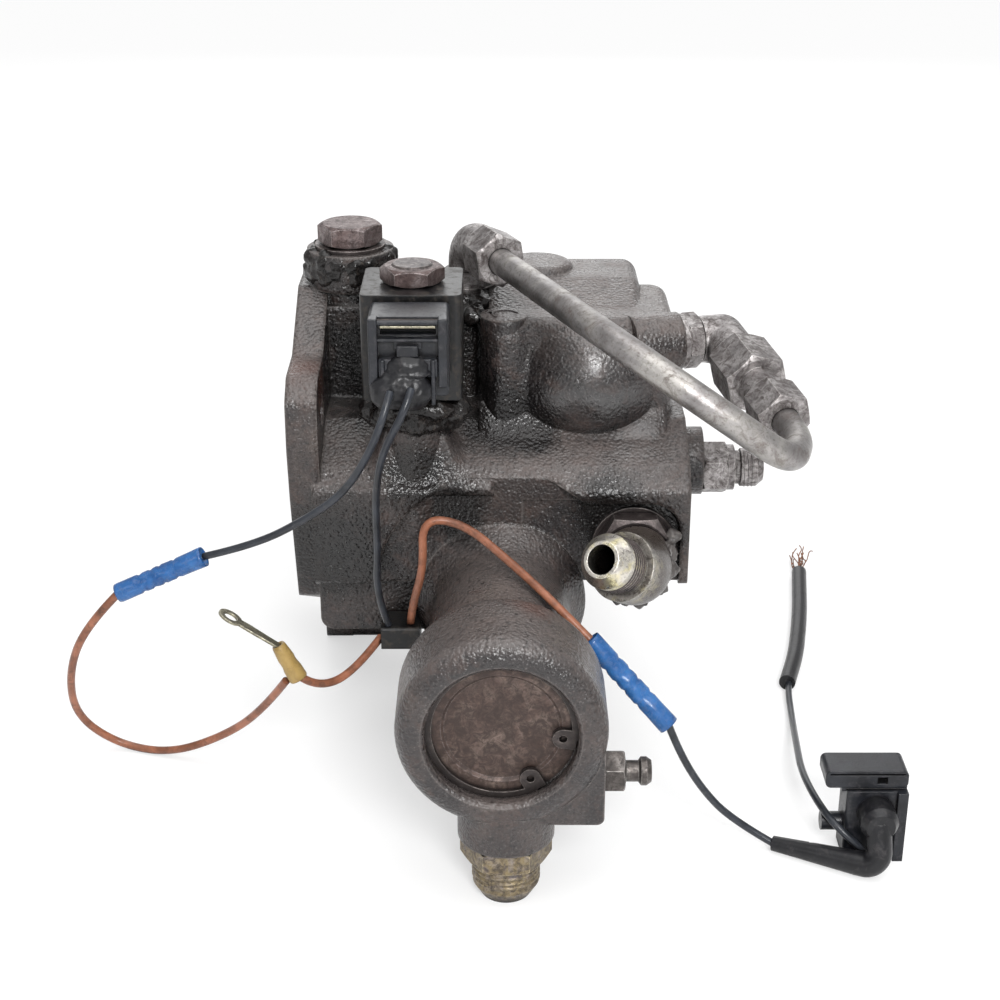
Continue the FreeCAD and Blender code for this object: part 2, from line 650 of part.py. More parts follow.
def snap_ring(bore):
    """The open ring that holds the end plug, with an eye at each end of its gap."""
    outer = s.ring_groove_r - 0.3
    disc = Part.makeCylinder(outer, s.ring_thick).cut(Part.makeCylinder(s.ring_in_r, s.ring_thick))
    sides = [math.radians(s.ring_gap_turn + way * s.ring_gap_half) for way in (-1, 1)]
    wedge = [Vector(0, 0, 0)] + [Vector(60 * math.cos(a), 60 * math.sin(a), 0) for a in sides]
    gap = Part.Face(Part.makePolygon(wedge + wedge[:1])).extrude(Vector(0, 0, s.ring_thick))
    shape = disc.cut(gap)
    for side in sides:
        eye = Vector(s.ring_eye_in * math.cos(side), s.ring_eye_in * math.sin(side), 0)
        reach = Vector(s.ring_in_r * math.cos(side), s.ring_in_r * math.sin(side), 0)
        across = (reach - eye).cross(Vector(0, 0, 1)).normalize() * s.ring_lug_r
        tab = Part.Face(Part.makePolygon([eye + across, reach * 1.08 + across, reach * 1.08 - across,
                                          eye - across, eye + across])).extrude(Vector(0, 0, s.ring_thick))
        shape = shape.fuse([Part.makeCylinder(s.ring_lug_r, s.ring_thick, eye), tab])
        shape = shape.cut(Part.makeCylinder(s.ring_eye_r, s.ring_thick, eye))
    shape = shape.common(Part.makeCylinder(outer, s.ring_thick)).removeSplitter()
    obj = doc.addObject("Part::Feature", "snap_ring")
    obj.Shape = shape
    obj.Placement = Placement(Vector(bore[0], s.ring_groove_y + s.ring_thick, bore[2]), TURN["-Y"])
    kept("snap_ring", obj)


def closing_plug(node, bore_r, flats, face, x, z):
    """A hexagon plug with a sealing washer in the back of a bore, and a pocket for the spring's end."""
    thread_r = f"{bore_r}-thread_gap"
    stud = turned(node + "_stud", [
        ("0", "-6"), (f"{bore_r}-3", "-6"), (f"{bore_r}-3", "-13"), (thread_r, "-13"),
        (thread_r, "washer_thick"), ("0", "washer_thick")])
    head = hexagon(node + "_head", f"{flats}", "9", "washer_thick")
    kept(node, place(joined(node, stud, head), "Y", x, face, z))
    kept(node + "_washer", place(ring(node + "_washer", f"{bore_r}", f"{bore_r}+3.6", "0", "washer_thick"),
                                 "Y", x, face, z))


def accumulator():
    """Piston and spring that soften the clutch pressure, behind the bulge."""
    at = (s.store_x, 0, s.store_z)
    kept("accumulator_piston", place(turned("accumulator_piston", [
        ("0", "0"), ("6", "0"), ("6", "1"), ("store_bore_r-1", "1"), ("store_bore_r-slide_gap", "2"),
        ("store_bore_r-slide_gap", "20"), ("10.8", "20"), ("10.8", "7"), ("0", "7")]),
        "Y", "store_x", "store_bore_start", "store_z"))
    spring("accumulator_spring", 9.0, 2.6, 6, s.store_bore_start + 7, s.store_boss_back - 6, "Y", at)
    closing_plug("accumulator_cap", "store_bore_r", 30.0, "store_boss_back", "store_x", "store_z")


def check_valve():
    at = (s.check_x, s.check_y, 0)
    stud = turned("check_stud", [
        ("0", "-8"), ("5.4", "-8"), ("5.4", "-check_thread_long"), ("check_thread_r", "-check_thread_long"),
        ("check_thread_r", "washer_thick"), ("0", "washer_thick")])
    cap = joined("check_valve_cap", stud, hexagon("check_head", "20.6", "7.7", "washer_thick"))
    kept("check_valve_cap", place(cap, "Z", "check_x", "check_y", "check_boss_top"))
    kept("check_cap_washer", place(ring("check_cap_washer", "check_thread_r+0.2", "13", "0", "washer_thick"), "Z",
                                   "check_x", "check_y", "check_boss_top"))
    kept("check_poppet", place(turned("check_poppet", [
        ("0", "-2.2"), ("check_seat_r-2.3", "-2.2"), ("check_seat_r+2.4", "2.5"), ("check_bore_r-slide_gap", "3.6"),
        ("check_bore_r-slide_gap", "15"), ("4.9", "15"), ("4.9", "8"), ("0", "8")]),
        "Z", "check_x", "check_y", "check_seat_z"))
    spring("check_spring", 3.9, 1.1, 8, s.check_seat_z + 8, s.check_boss_top - 8, "Z", at)


# Solenoid valve and its plug connector

def solenoid():
    at = (s.pilot_x, s.pilot_y, 0)
    seat = "pilot_boss_top"
    where = ("Z", "pilot_x", "pilot_y", seat)
    body = turned("pilot_body", [
        ("2.9+slide_gap", "pilot_spigot_end-pilot_boss_top"), ("pilot_spigot_r", "pilot_spigot_end-pilot_boss_top"),
        ("pilot_spigot_r", "-pilot_thread_long"), ("pilot_thread_r", "-pilot_thread_long"),
        ("pilot_thread_r", "0"), ("9.9", "0"), ("9.9", "12"), ("7.05", "12"), ("7.05", "6"), ("2.9+slide_gap", "6")])
    nut = removed("pilot_hex", hexagon("pilot_hex_bar", "20.6", "12"), rod("pilot_hex_hole", "8.5", "12"))
    kept("solenoid_cartridge", place(joined("solenoid_cartridge", body, nut), *where))
    kept("core_tube", place(turned("core_tube", [
        ("5.5", "6"), ("7", "6"), ("7", "56.8"), ("6.3", "57.4"), ("0", "57.4"), ("0", "54"), ("5.5", "54")]), *where))
    kept("pole_piece", place(turned("pole_piece", [
        ("2.7", "38"), ("5.45", "38"), ("5.45", "54"), ("0", "54"), ("0", "46"), ("2.7", "46")]), *where))
    kept("armature", place(turned("armature", [
        ("0", "-29"), ("1.2", "-29"), ("2.9", "-26"), ("2.9", "6"), ("5.5-slide_gap", "6"), ("5.5-slide_gap", "36"), ("2.7", "36"),
        ("2.7", "30"), ("0", "30")]), *where))
    spring("armature_spring", 1.9, 0.8, 7, s.pilot_boss_top + 30, s.pilot_boss_top + 46, "Z", at)
    kept("coil_seal", place(ring("coil_seal", "7.1", "10.5", "12", "14"), *where))
    kept("coil_nut", place(removed("coil_nut", hexagon("coil_nut_bar", "19.2", "5.8", "51"),
                                   rod("coil_nut_hole", "7.05", "8", "Z", 0, 0, "50")), *where))
    half = "17"
    low = f"{seat}+14"
    high = f"{seat}+51"
    case = block("coil_case", (f"pilot_x-{half}", f"pilot_y-{half}", low), (f"pilot_x+{half}", f"pilot_y+{half}", high))
    case = rounded("coil_case_round", case, 2.2, along("z"))
    socket = block("coil_socket", ("pilot_x-11", f"pilot_y-{half}-10.4", f"{low}+12"),
                   ("pilot_x+11", f"pilot_y-{half}+2", f"{low}+32"))
    recess = block("coil_recess", ("pilot_x-9", f"pilot_y-{half}-11", f"{low}+14"),
                   ("pilot_x+9", f"pilot_y-{half}-3", f"{low}+30"))
    prongs = [block(f"coil_prong_{i}", (f"pilot_x+{x}", f"pilot_y-{half}-9.5", f"{low}+19"),
                    (f"pilot_x+{x}+0.8", f"pilot_y-{half}-2", f"{low}+25")) for i, x in enumerate((-4.4, 3.6))]
    hollow = rod("coil_hole", "7.1", "40", "Z", "pilot_x", "pilot_y", f"{low}-1")
    shell = removed("coil_shell", joined("coil_solid", case, socket), recess, hollow)
    kept("solenoid_coil", joined("solenoid_coil", shell, *prongs))
    connector(low, half)


def connector(low, half):
    """The plug on the coil's front: its shell, the wire bail that locks it and the rubber boot."""
    front = f"pilot_y-{half}-18.5"
    back = f"pilot_y-{half}-2.4"
    shell = block("plug_shell", ("pilot_x-13.1", front, f"{low}+8.5"), ("pilot_x+13.1", back, f"{low}+35.5"))
    shell = rounded("plug_shell_round", shell, 1.6, along("y"))
    pocket = block("plug_pocket", ("pilot_x-11.3", f"pilot_y-{half}-10.6", f"{low}+11.7"),
                   ("pilot_x+11.3", f"{back}+1", f"{low}+32.3"))
    slot = block("plug_slot", ("pilot_x-9", f"{front}-1", f"{low}+29.5"), ("pilot_x+9", f"{front}+3.5", f"{low}+33"))
    tab = block("plug_tab", ("pilot_x-4.5", f"{front}-1.6", f"{low}+25"), ("pilot_x+4.5", f"{front}+1", f"{low}+28.8"))
    kept("connector_plug", joined("connector_plug", removed("plug_hollow", shell, pocket, slot), tab))
    kept("connector_boot", place(turned("connector_boot", [
        ("0", "0"), ("9.2", "0"), ("9.2", "1.2"), ("10.1", "1.8"), ("10.1", "3"), ("9.4", "3.6"), ("9.4", "4.6"),
        ("10.4", "5.2"), ("10.4", "7.4"), ("9.2", "8.6"), ("0", "8.6")]),
        "-Y", "pilot_x-2", front, f"{low}+14.2"))
    wire = 0.8
    face = s.pilot_y - float(half) - 18.5 - wire - 0.02
    z = s.pilot_boss_top + 14
    route = [Vector(s.pilot_x - 12, face, z + 16), Vector(s.pilot_x - 12, face, z + 34.3),
             Vector(s.pilot_x + 12, face, z + 34.3), Vector(s.pilot_x + 12, face, z + 16)]
    swept("connector_bail", route, wire, bend=1.8)


# Swept pieces: the jumper tube, the bail and the leads

def bends(points, bend=None):
    """The arc at each inner point; without a bend each arc is as large as its runs allow."""
    found = []
    for before, corner, after in zip(points, points[1:], points[2:]):
        inward = (before - corner).normalize()
        outward = (after - corner).normalize()
        half = inward.getAngle(outward) / 2
        reach = 0.45 * min(corner.distanceToPoint(before), corner.distanceToPoint(after))
        radius = reach * math.tan(half)
        if bend:
            radius = bend
            reach = bend / math.tan(half)
        centre = corner + (inward + outward).normalize() * (radius / math.sin(half))
        turn = math.degrees(math.pi - 2 * half)
        found.append(SimpleNamespace(first=corner + inward * reach, last=corner + outward * reach, centre=centre,
                                     radius=radius, axis=outward.cross(inward), way=inward * -1, turn=turn))
    return found


def tube_solid(points, radius, bend=None):
    """A round rod along the points: straight cylinders joined by bends of a full circle section."""
    arcs = bends(points, bend)
    starts = [points[0]] + [arc.last for arc in arcs]
    ends = [arc.first for arc in arcs] + [points[-1]]
    solids = [Part.makeCylinder(radius, (end - start).Length, start, end - start) for start, end in zip(starts, ends)]
    for arc in arcs:
        section = Part.Face(Part.Wire([Part.makeCircle(radius, arc.first, arc.way)]))
        solids.append(section.revolve(arc.centre, arc.axis, arc.turn))
    length = sum((end - start).Length for start, end in zip(starts, ends))
    length += sum(math.radians(arc.turn) * arc.radius for arc in arcs)
    solid = solids[0].fuse(solids[1:]) if arcs else solids[0]
    return solid, length, min([arc.radius for arc in arcs], default=0)


def swept(node, points, radius, bend=None, hole=0):
    shape, length, tightest = tube_solid(points, radius, bend)
    if hole:
        shape = shape.cut(tube_solid(points, hole, bend)[0])
    expected = math.pi * (radius ** 2 - hole ** 2) * length
    if abs(shape.Volume - expected) > 0.01 * expected:
        raise ValueError(f"{node}: volume {shape.Volume:.0f} is not its section times its length {expected:.0f}")
    obj = doc.addObject("Part::Feature", node)
    obj.Shape = shape
    print(f"{node}: length {length:.1f}, tightest radius {tightest:.1f}")
    return kept(node, obj)


# Pipe fittings

def flare_stud(name, reach, start, hole="fitting_hole_r", radius="stud_r", tip="cone_tip_r"):
    """The threaded end of a flare fitting with its cone, from start to reach along Z."""
    return turned(name, [
        (hole, start), (radius, start), (radius, f"{reach}-cone_long"), (tip, reach), (hole, reach)])


def way_of(elbow, target):
    return (target - elbow).normalize()


JUMPER = [Vector(105.8, -68.7, 77.4), Vector(135.8, -91.5, 62.7), Vector(166.2, -89.6, 40.6)]   # tube corners


def jumper():
    """The steel tube across the front, its two elbows, the adapter and the tube nuts."""
    top = Vector(s.top_elbow_x, s.top_elbow_y, s.top_elbow_z)
    right = Vector(s.jumper_elbow_x, s.jumper_elbow_y, s.jumper_elbow_z)
    top_way = way_of(top, JUMPER[0])
    tilt = math.radians(s.jumper_tilt)
    yaw = math.radians(s.jumper_port_yaw)
    right_way = Vector(math.sin(yaw) * math.cos(tilt), -math.cos(yaw) * math.cos(tilt), -math.sin(tilt))
    top_reach = 24.5
    right_reach = 53.5

    elbow("top_elbow", top, Vector(0, 0, -1), s.top_elbow_z - s.top_boss_top, top_way, top_reach, 8.0)
    jam("top_elbow_nut", Vector(top.x, top.y, s.top_boss_top), Vector(0, 0, 1))
    elbow("side_elbow", right, port_way() * -1, s.jumper_elbow_reach, right_way, 14.0, 8.4)
    jam("side_elbow_nut", side_port(), port_way())

    reach = f"{right_reach}"
    stem = flare_stud("adapter_stem", reach, "14.3")
    bar = removed("adapter_bar", hexagon("adapter_hex", "20.6", "19", "16.5"), rod("adapter_hole", "6", "24", z="14"))
    kept("side_adapter", aim(joined("side_adapter", stem, bar), right, right_way))

    for node, elbow_at, way, tip in (("top_tube_nut", top, top_way, top_reach),
                                     ("side_tube_nut", right, right_way, right_reach)):
        end = tip + (6.5 if tip == right_reach else 4.5)
        bar = hexagon(node + "_bar", "tube_nut_flats", "tube_nut_long", f"{end}-tube_nut_long")
        bore = rod(node + "_bore", "stud_r+thread_gap", "tube_nut_long", z=f"{tip}+0.4-tube_nut_long")
        nut = removed(node, bar, bore, rod(node + "_hole", "tube_r+0.15", "12", z=f"{tip}-2"))
        kept(node, aim(nut, elbow_at, way))
    start = top + top_way * top_reach
    end = right + right_way * right_reach
    lead_in = right + right_way * (right_reach + 19)
    swept("jumper_tube", [start, *JUMPER, lead_in, end], s.tube_r, hole=s.tube_r - s.tube_wall)


def elbow(node, centre, port, port_reach, outlet, outlet_reach, body_r):
    """A forged elbow: a bent body, its threaded port leg and an outlet leg with a flare or a plain end."""
    flare = outlet_reach > 20
    hole = s.fitting_hole_r
    body_end = outlet_reach - 10.5 if flare else outlet_reach
    corners = [centre + port * (port_reach - 8.1), centre, centre + outlet * body_end]
    parts = [Part.makeCylinder(s.stud_r, port_reach + s.stud_long - 8, centre + port * 8, port)]
    if flare:
        parts.append(Part.makeCylinder(s.stud_r, 8, centre + outlet * (body_end - 0.1), outlet))
        parts.append(Part.makeCone(s.stud_r, s.cone_tip_r, s.cone_long,
                                   centre + outlet * (outlet_reach - s.cone_long), outlet))
    if not flare:
        parts.append(Part.makeSphere(body_r, centre, outlet * -1, -90, 76, 360))
        parts.append(Part.makeCylinder(body_r, body_end, centre, outlet))
        parts.append(Part.makeCylinder(body_r, port_reach - 8.1, centre, port))
    solid = tube_solid(corners, body_r, body_r + 0.2)[0].fuse(parts)
    ends = [centre + port * (port_reach + s.stud_long), centre, centre + outlet * outlet_reach]
    obj = doc.addObject("Part::Feature", node)
    obj.Shape = solid.cut(tube_solid(ends, hole, body_r)[0]).removeSplitter()
    return kept(node, obj)


def jam(node, face, way):
    """A thin lock nut and its washer on the port face, made as one nut with a flange."""
    bar = hexagon(node + "_bar", "small_flats", "6.4", "washer_thick")
    flange = rod(node + "_flange", "small_flats*0.56", "washer_thick+0.5")
    nut = removed(node, joined(node + "_solid", bar, flange), rod(node + "_hole", "stud_r+thread_gap", "12", z="-1"))
    return kept(node, aim(nut, face, way))


def front_outlet():
    """The 45 degree elbow with its lock nut and washer in the arched pocket."""
    face = "block_front+pocket_deep"
    centre = Vector(s.outlet_x, s.block_front + s.pocket_deep - 23.5, s.outlet_z)
    turn = math.radians(45)
    outlet = Vector(-math.sin(turn) * 0.70, -math.cos(turn), math.sin(turn) * 0.714).normalize()
    inward = Vector(0, 1, 0)
    thread_r = 9.5
    solid = tube_solid([centre + inward * 12, centre, centre + outlet * 13], 12.0, 14.0)[0]
    solid = solid.fuse([
        Part.makeCylinder(s.outlet_stud_r, 12.5 + s.outlet_stud_long, centre + inward * 11, inward),
        Part.makeCylinder(thread_r, 12.5, centre + outlet * 12, outlet),
        Part.makeCone(thread_r, 6.4, 4.0, centre + outlet * 24.5, outlet)])
    passage = tube_solid([centre + inward * 40, centre, centre + outlet * 30], 5.1, 14.0)[0]
    obj = doc.addObject("Part::Feature", "front_elbow")
    obj.Shape = solid.cut(passage).removeSplitter()
    kept("front_elbow", obj)
    kept("front_elbow_washer", place(ring("front_elbow_washer", "outlet_stud_r+0.2", "14.9", "0", "2"),
                                     "-Y", "outlet_x", face, "outlet_z"))
    nut = removed("front_elbow_nut", hexagon("front_nut_bar", "26.4", "8", "2"),
                  rod("front_nut_hole", "outlet_stud_r+thread_gap", "12"))
    kept("front_elbow_nut", place(nut, "-Y", "outlet_x", face, "outlet_z"))


def straight_fittings():
    """The straight adapters under the head and on the right, and the bleed nipple."""
    body = turned("inlet_body", [
        ("6.2", "-inlet_stud_long"), ("inlet_stud_r", "-inlet_stud_long"), ("inlet_stud_r", "0"), ("12.2", "0"),
        ("12.2", "inlet_hex_long"), ("inlet_stud_r+0.1", "inlet_hex_long+0.6"), ("inlet_stud_r+0.1", "18.4"),
        ("8.4", "22.9"), ("6.2", "22.9")])
    bar = removed("inlet_bar", hexagon("inlet_hex", "26.4", "inlet_hex_long"), rod("inlet_bar_hole", "9", "12"))
    kept("inlet_adapter", place(joined("inlet_adapter", body, bar), "-Z", "inlet_x", "port_line_y", "inlet_boss_low"))

    stem = turned("side_stem", [
        ("fitting_hole_r", "-stud_long"), ("stud_r", "-stud_long"), ("stud_r", "0"), ("8.4", "0"), ("8.4", "12"),
        ("6.2", "12.5"), ("6.2", "14"), ("stud_r", "14.5"), ("stud_r", "20.2"), ("cone_tip_r", "22.8"),
        ("fitting_hole_r", "22.8")])
    bar = removed("side_bar", hexagon("side_hex", "small_flats", "9.5"), rod("side_bar_hole", "6.5", "10"))
    kept("side_outlet_adapter", place(joined("side_outlet_adapter", stem, bar), "X",
                                      "side_pad_right", "side_y", "side_z"))

    nipple = turned("bleed_stem", [
        ("0.9", "-8"), ("3.9", "-8"), ("3.9", "0"), ("5.5", "0"), ("5.5", "7"), ("3.5", "7.4"), ("3.5", "11.4"),
        ("4.7", "12.2"), ("4.7", "14"), ("3.6", "15.6"), ("0.9", "15.6")])
    bar = removed("bleed_bar", hexagon("bleed_hex", "12.7", "7"), rod("bleed_bar_hole", "4.5", "8"))
    kept("bleed_nipple", place(joined("bleed_nipple", nipple, bar), "X", "lug_right", "port_line_y", "bleed_z"))


# Leads: routes chosen by hand, each from one end fitting to the next

FLOOR = -103.3

ROUTE_SPLICE_LEFT = [
    (38.6, -69.0, 57.0), (36.8, -74.5, 51.0), (31.5, -74.5, 37.5), (22.5, -68.5, 21.5), (9.0, -62.0, 9.2),
    (-10.0, -56.4, -3.2), (-28.6, -52.0, -9.6)]
ROUTE_CLIP = [
    (45.4, -69.0, 58.0), (43.5, -75.0, 52.5), (35.5, -71.5, 37.0), (32.2, -63.0, 18.0), (32.0, -55.5, -4.0),
    (30.2, -46.0, -27.5), (33.6, -37.5, -43.6)]
ROUTE_LOOP = [
    (-59.4, -52.0, -23.8), (-73.0, -51.0, -38.0), (-82.5, -43.0, -61.0), (-84.5, -32.0, -85.0),
    (-72.0, -24.5, -101.6), (-51.0, -31.5, -101.6), (-30.0, -37.5, -91.0), (-12.5, -50.0, -73.0),
    (-1.2, -61.0, -53.6)]
ROUTE_CLIP_BROWN = [
    (4.6, -61.8, -52.0), (10.5, -60.5, -57.0), (22.0, -49.0, -56.5), (30.7, -36.0, -49.5)]
ROUTE_OVER = [
    (41.6, -35.6, -43.8), (42.6, -43.5, -33.5), (47.5, -52.0, -14.0), (47.0, -49.0, 3.6), (61.5, -48.5, 1.5),
    (78.0, -63.0, -7.0), (91.0, -77.5, -13.5), (104.0, -84.0, -25.0)]
ROUTE_RIGHT = [
    (130.5, -92.8, -52.8), (134.5, -92.6, -63.5), (143.0, -90.0, -79.5), (154.0, -87.4, -93.5),
    (168.4, -91.9, -100.4)]
ROUTE_TAIL = [
    (198.0, -101.3, -97.4), (192.4, -100.6, -92.4), (184.6, -93.5, -86.5), (181.4, -68.0, -87.5),
    (184.5, -38.0, -93.5), (188.0, -8.0, -101.0), (190.0, 19.0, -100.0)]
ROUTE_SLEEVE = [
    (190.1, 19.5, -99.9), (197.3, 43.5, -99.9), (204.5, 79.0, -99.9), (210.9, 121.8, -99.9)]


LEADS = {}           # lead's node name to its points and radius


def lead(node, points, radius):
    LEADS[node] = ([Vector(*point) for point in points], radius)
    return swept(node, *LEADS[node])


def seat(node, *leads_in):
    """Opens a piece for the leads that end in it, with a little room round each."""
    piece = PIECES[node]
    doc.recompute()
    shape = piece.Shape
    for name in leads_in:
        points, radius = LEADS[name]
        shape = shape.cut(tube_solid(points, radius + s.slide_gap)[0])
    obj = doc.addObject("Part::Feature", node + "_seated")
    obj.Shape = shape
    kept(node, obj)


def leads():
    lead("lead_to_left_splice", ROUTE_SPLICE_LEFT, s.black_lead_r)
    lead("lead_to_clip", ROUTE_CLIP, s.black_lead_r)
    lead("lead_left_loop", ROUTE_LOOP, s.brown_lead_r)
    lead("lead_ring_to_clip", ROUTE_CLIP_BROWN, s.brown_lead_r)
    lead("lead_over_neck", ROUTE_OVER, s.brown_lead_r)
    lead("lead_to_connector", ROUTE_RIGHT, s.black_lead_r)
    lead("lead_tail", ROUTE_TAIL, s.black_lead_r)
    for node, start, end in (("left_splice", ROUTE_SPLICE_LEFT[-1], ROUTE_LOOP[0]),
                             ("right_splice", ROUTE_OVER[-1], ROUTE_RIGHT[0])):
        a = Vector(*start)
        b = Vector(*end)
        long = a.distanceToPoint(b)
        sleeve = turned(node, [("0", "0"), ("splice_r", "0"), ("splice_r", f"{long * 0.24}"),
                               ("splice_r*0.82", f"{long * 0.3}"), ("splice_r", f"{long * 0.36}"),
                               ("splice_r", f"{long * 0.6}"), ("splice_r*0.82", f"{long * 0.67}"),
                               ("splice_r", f"{long * 0.74}"), ("splice_r", f"{long}"), ("0", f"{long}")])
        kept(node, aim(sleeve, a, b - a))
    ring_terminal()
    clip = block("clip_block", ("31", "deep_front-15", "-53"), ("45", "deep_front", "-44"))
    kept("lead_clip", rounded("lead_clip", clip, 1.5, along("x")))
    loose_connector()
    seat("connector_boot", "lead_to_left_splice", "lead_to_clip")
    seat("left_splice", "lead_to_left_splice", "lead_left_loop")
    seat("right_splice", "lead_over_neck", "lead_to_connector")
    seat("lead_clip", "lead_to_clip", "lead_ring_to_clip", "lead_over_neck")
    seat("loose_connector_boot", "lead_to_connector", "lead_tail")
    seat("ring_terminal", "lead_left_loop", "lead_ring_to_clip")


def ring_terminal():
    """The crimped ring terminal between the two brown leads, its tongue pointing up and to the left."""
    a = Vector(1.6, -61.3, -49.9)
    way = Vector(-0.72, 0.13, 0.68).normalize()
    sleeve = Part.makeCylinder(3.3, 11.0, a - way * 1.5, way)
    flat = Vector(0.2, -1, 0.35)
    flat = (flat - way * flat.dot(way)).normalize()
    side = way.cross(flat)
    neck_at = a + way * 9.0
    tip = a + way * 30.0
    outline = [neck_at + side * 2.0, tip + side * 2.0, tip - side * 2.0, neck_at - side * 2.0]
    blade = Part.Face(Part.makePolygon(outline + outline[:1])).extrude(flat * 0.9)
    eye = Part.makeCylinder(4.6, 0.9, tip, flat).cut(Part.makeCylinder(2.6, 0.9, tip, flat))
    blade = blade.cut(Part.makeCylinder(2.6, 0.9, tip, flat))
    obj = doc.addObject("Part::Feature", "ring_terminal")
    obj.Shape = sleeve.fuse([blade, eye]).removeSplitter()
    kept("ring_terminal", obj)


def loose_connector():
    """The unplugged connector on the right lead, its elbow boot and the cut tail in its sleeve."""
    low = FLOOR
    body = block("loose_body", ("191.5", "-97", f"{low}+1"), ("211", "-84", f"{low}+27"))
    body = rounded("loose_body_round", body, 1.5, along("z"))
    rib = block("loose_rib", ("208.5", "-98.5", f"{low}"), ("212", "-86", f"{low}+27"))
    bar = block("loose_bar", ("184", "-96", f"{low}+28"), ("212", "-84", f"{low}+34.5"))
    bar = rounded("loose_bar_round", bar, 2.0, along("y"))
    neck = block("loose_neck", ("190", "-95", f"{low}+26"), ("212", "-85", f"{low}+29"))
    window = block("loose_window", ("201.5", "-97", f"{low}+29.5"), ("205", "-83", f"{low}+32"))
    groove = block("loose_groove", ("185.5", "-97", f"{low}+32.8"), ("211", "-94.5", f"{low}+33.4"))
    lug = rod("loose_lug", "3.2", "8", "X", "184.5", "-90", f"{low}+11")
    solid = joined("loose_solid", body, rib, bar, neck, lug)
    kept("loose_connector", removed("loose_connector", solid, window, groove))
    start = Vector(*ROUTE_RIGHT[-1])
    knee = Vector(202.0, -109.0, low + 4.6)
    top = Vector(201.6, -103.4, low + 19.0)
    way = (knee - start).normalize()
    leg = Part.makeCone(2.6, 4.2, (knee - start).Length - 8.0, start, knee - start)
    bent = tube_solid([knee - way * 8.2, knee, top], 4.2, 5.0)[0]
    cap = Part.makeCone(4.8, 6.4, 2.5, Vector(top.x, -97.0 - 10.0, top.z), Vector(0, 1, 0))
    seat = Part.makeCylinder(6.4, 7.5, Vector(top.x, -97.0 - 7.5, top.z), Vector(0, 1, 0))
    behind = Part.makeBox(40, 20, 60, Vector(180, -97, low - 5))
    boot = leg.fuse([bent, cap, seat]).cut(behind)
    obj = doc.addObject("Part::Feature", "loose_connector_boot")
    obj.Shape = boot.removeSplitter()
    kept("loose_connector_boot", obj)
    sleeve = [Vector(*point) for point in ROUTE_SLEEVE]
    swept("tail_sleeve", sleeve, 3.3)
    strands = []
    root = sleeve[-1]
    tail_way = (sleeve[-1] - sleeve[-2]).normalize()
    for side, rise in ((-4.0, -1.6), (-0.6, 2.6), (2.2, -0.8), (4.6, 1.4)):
        start = root + Vector(side * 0.2, 0, rise * 0.2) + tail_way * 0.3
        tip = root + tail_way * 24 + Vector(side, 0, rise)
        strands.append(Part.makeCylinder(0.45, (tip - start).Length, start, tip - start))
    obj = doc.addObject("Part::Feature", "tail_strands")
    obj.Shape = Part.makeCompound(strands)
    kept("tail_strands", obj)


housing()
inching_valve()
accumulator()
check_valve()
solenoid()
jumper()
front_outlet()
straight_fittings()
leads()
doc.recompute()

# Check every object, then write one file for each piece

faults = [f"{obj.Name}: {obj.State}" for obj in doc.Objects if {"Invalid", "Error"} & set(obj.State)]
for node, obj in PIECES.items():
    if obj.Shape.isNull() or not obj.Shape.isValid() or not obj.Shape.Solids:
        faults.append(f"{node}: the shape is empty or not valid")
if faults:
    raise RuntimeError("; ".join(faults))
os.makedirs("parts", exist_ok=True)
for node, obj in PIECES.items():
    obj.Shape.exportStep(f"parts/{node}.step")
box = Part.makeCompound([obj.Shape for obj in PIECES.values()]).BoundBox
print(f"{len(PIECES)} pieces, box {box.XMin:.1f} to {box.XMax:.1f}, {box.YMin:.1f} to {box.YMax:.1f}, "
      f"{box.ZMin:.1f} to {box.ZMax:.1f}")
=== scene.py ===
# %% [markdown]
# # A clutch control valve, dressed in Blender
# The solids come from CAD and stay where they are. This script gives them the finishes of a valve that has
# come off an old machine: oily cast iron, zinc-plated fittings, rust-brown hexagons and worn leads. It adds
# what CAD leaves out, such as threads, crimped splices, bare strands and lumps of grease.

# %% Load the frame
import bmesh
import bpy
import json
import math
import random
from mathutils import Matrix, Vector
from mathutils import noise as rough_field


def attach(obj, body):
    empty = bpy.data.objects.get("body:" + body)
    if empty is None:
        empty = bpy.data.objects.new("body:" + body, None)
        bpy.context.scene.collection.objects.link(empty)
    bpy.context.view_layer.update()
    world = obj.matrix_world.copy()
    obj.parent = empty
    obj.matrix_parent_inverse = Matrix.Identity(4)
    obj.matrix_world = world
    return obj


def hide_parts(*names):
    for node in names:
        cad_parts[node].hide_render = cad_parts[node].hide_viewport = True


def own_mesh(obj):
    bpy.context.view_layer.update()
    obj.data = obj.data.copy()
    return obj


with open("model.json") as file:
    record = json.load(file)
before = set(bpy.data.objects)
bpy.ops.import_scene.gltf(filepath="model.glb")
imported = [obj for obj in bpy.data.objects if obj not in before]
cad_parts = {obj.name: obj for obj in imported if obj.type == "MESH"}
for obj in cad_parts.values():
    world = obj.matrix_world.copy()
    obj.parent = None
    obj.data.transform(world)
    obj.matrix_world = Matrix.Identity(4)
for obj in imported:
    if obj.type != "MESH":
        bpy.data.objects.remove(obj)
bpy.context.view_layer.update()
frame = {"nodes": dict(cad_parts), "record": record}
nodes = frame["nodes"]
MM = 0.001
random.seed(7)


def into_scene(name, data):
    """A new object that shows this data, linked into the scene."""
    made = bpy.data.objects.new(name, data)
    bpy.context.scene.collection.objects.link(made)
    return made


print("pieces from CAD:", len(nodes))

# %% [markdown]
# ## Camera
# The photograph looks down on the valve by 23.5 degrees with a long lens, so verticals hardly converge. The
# camera's place was worked out from the fittings' standard sizes. A 63 mm lens on a 36 mm sensor gives the
# same angle of view.

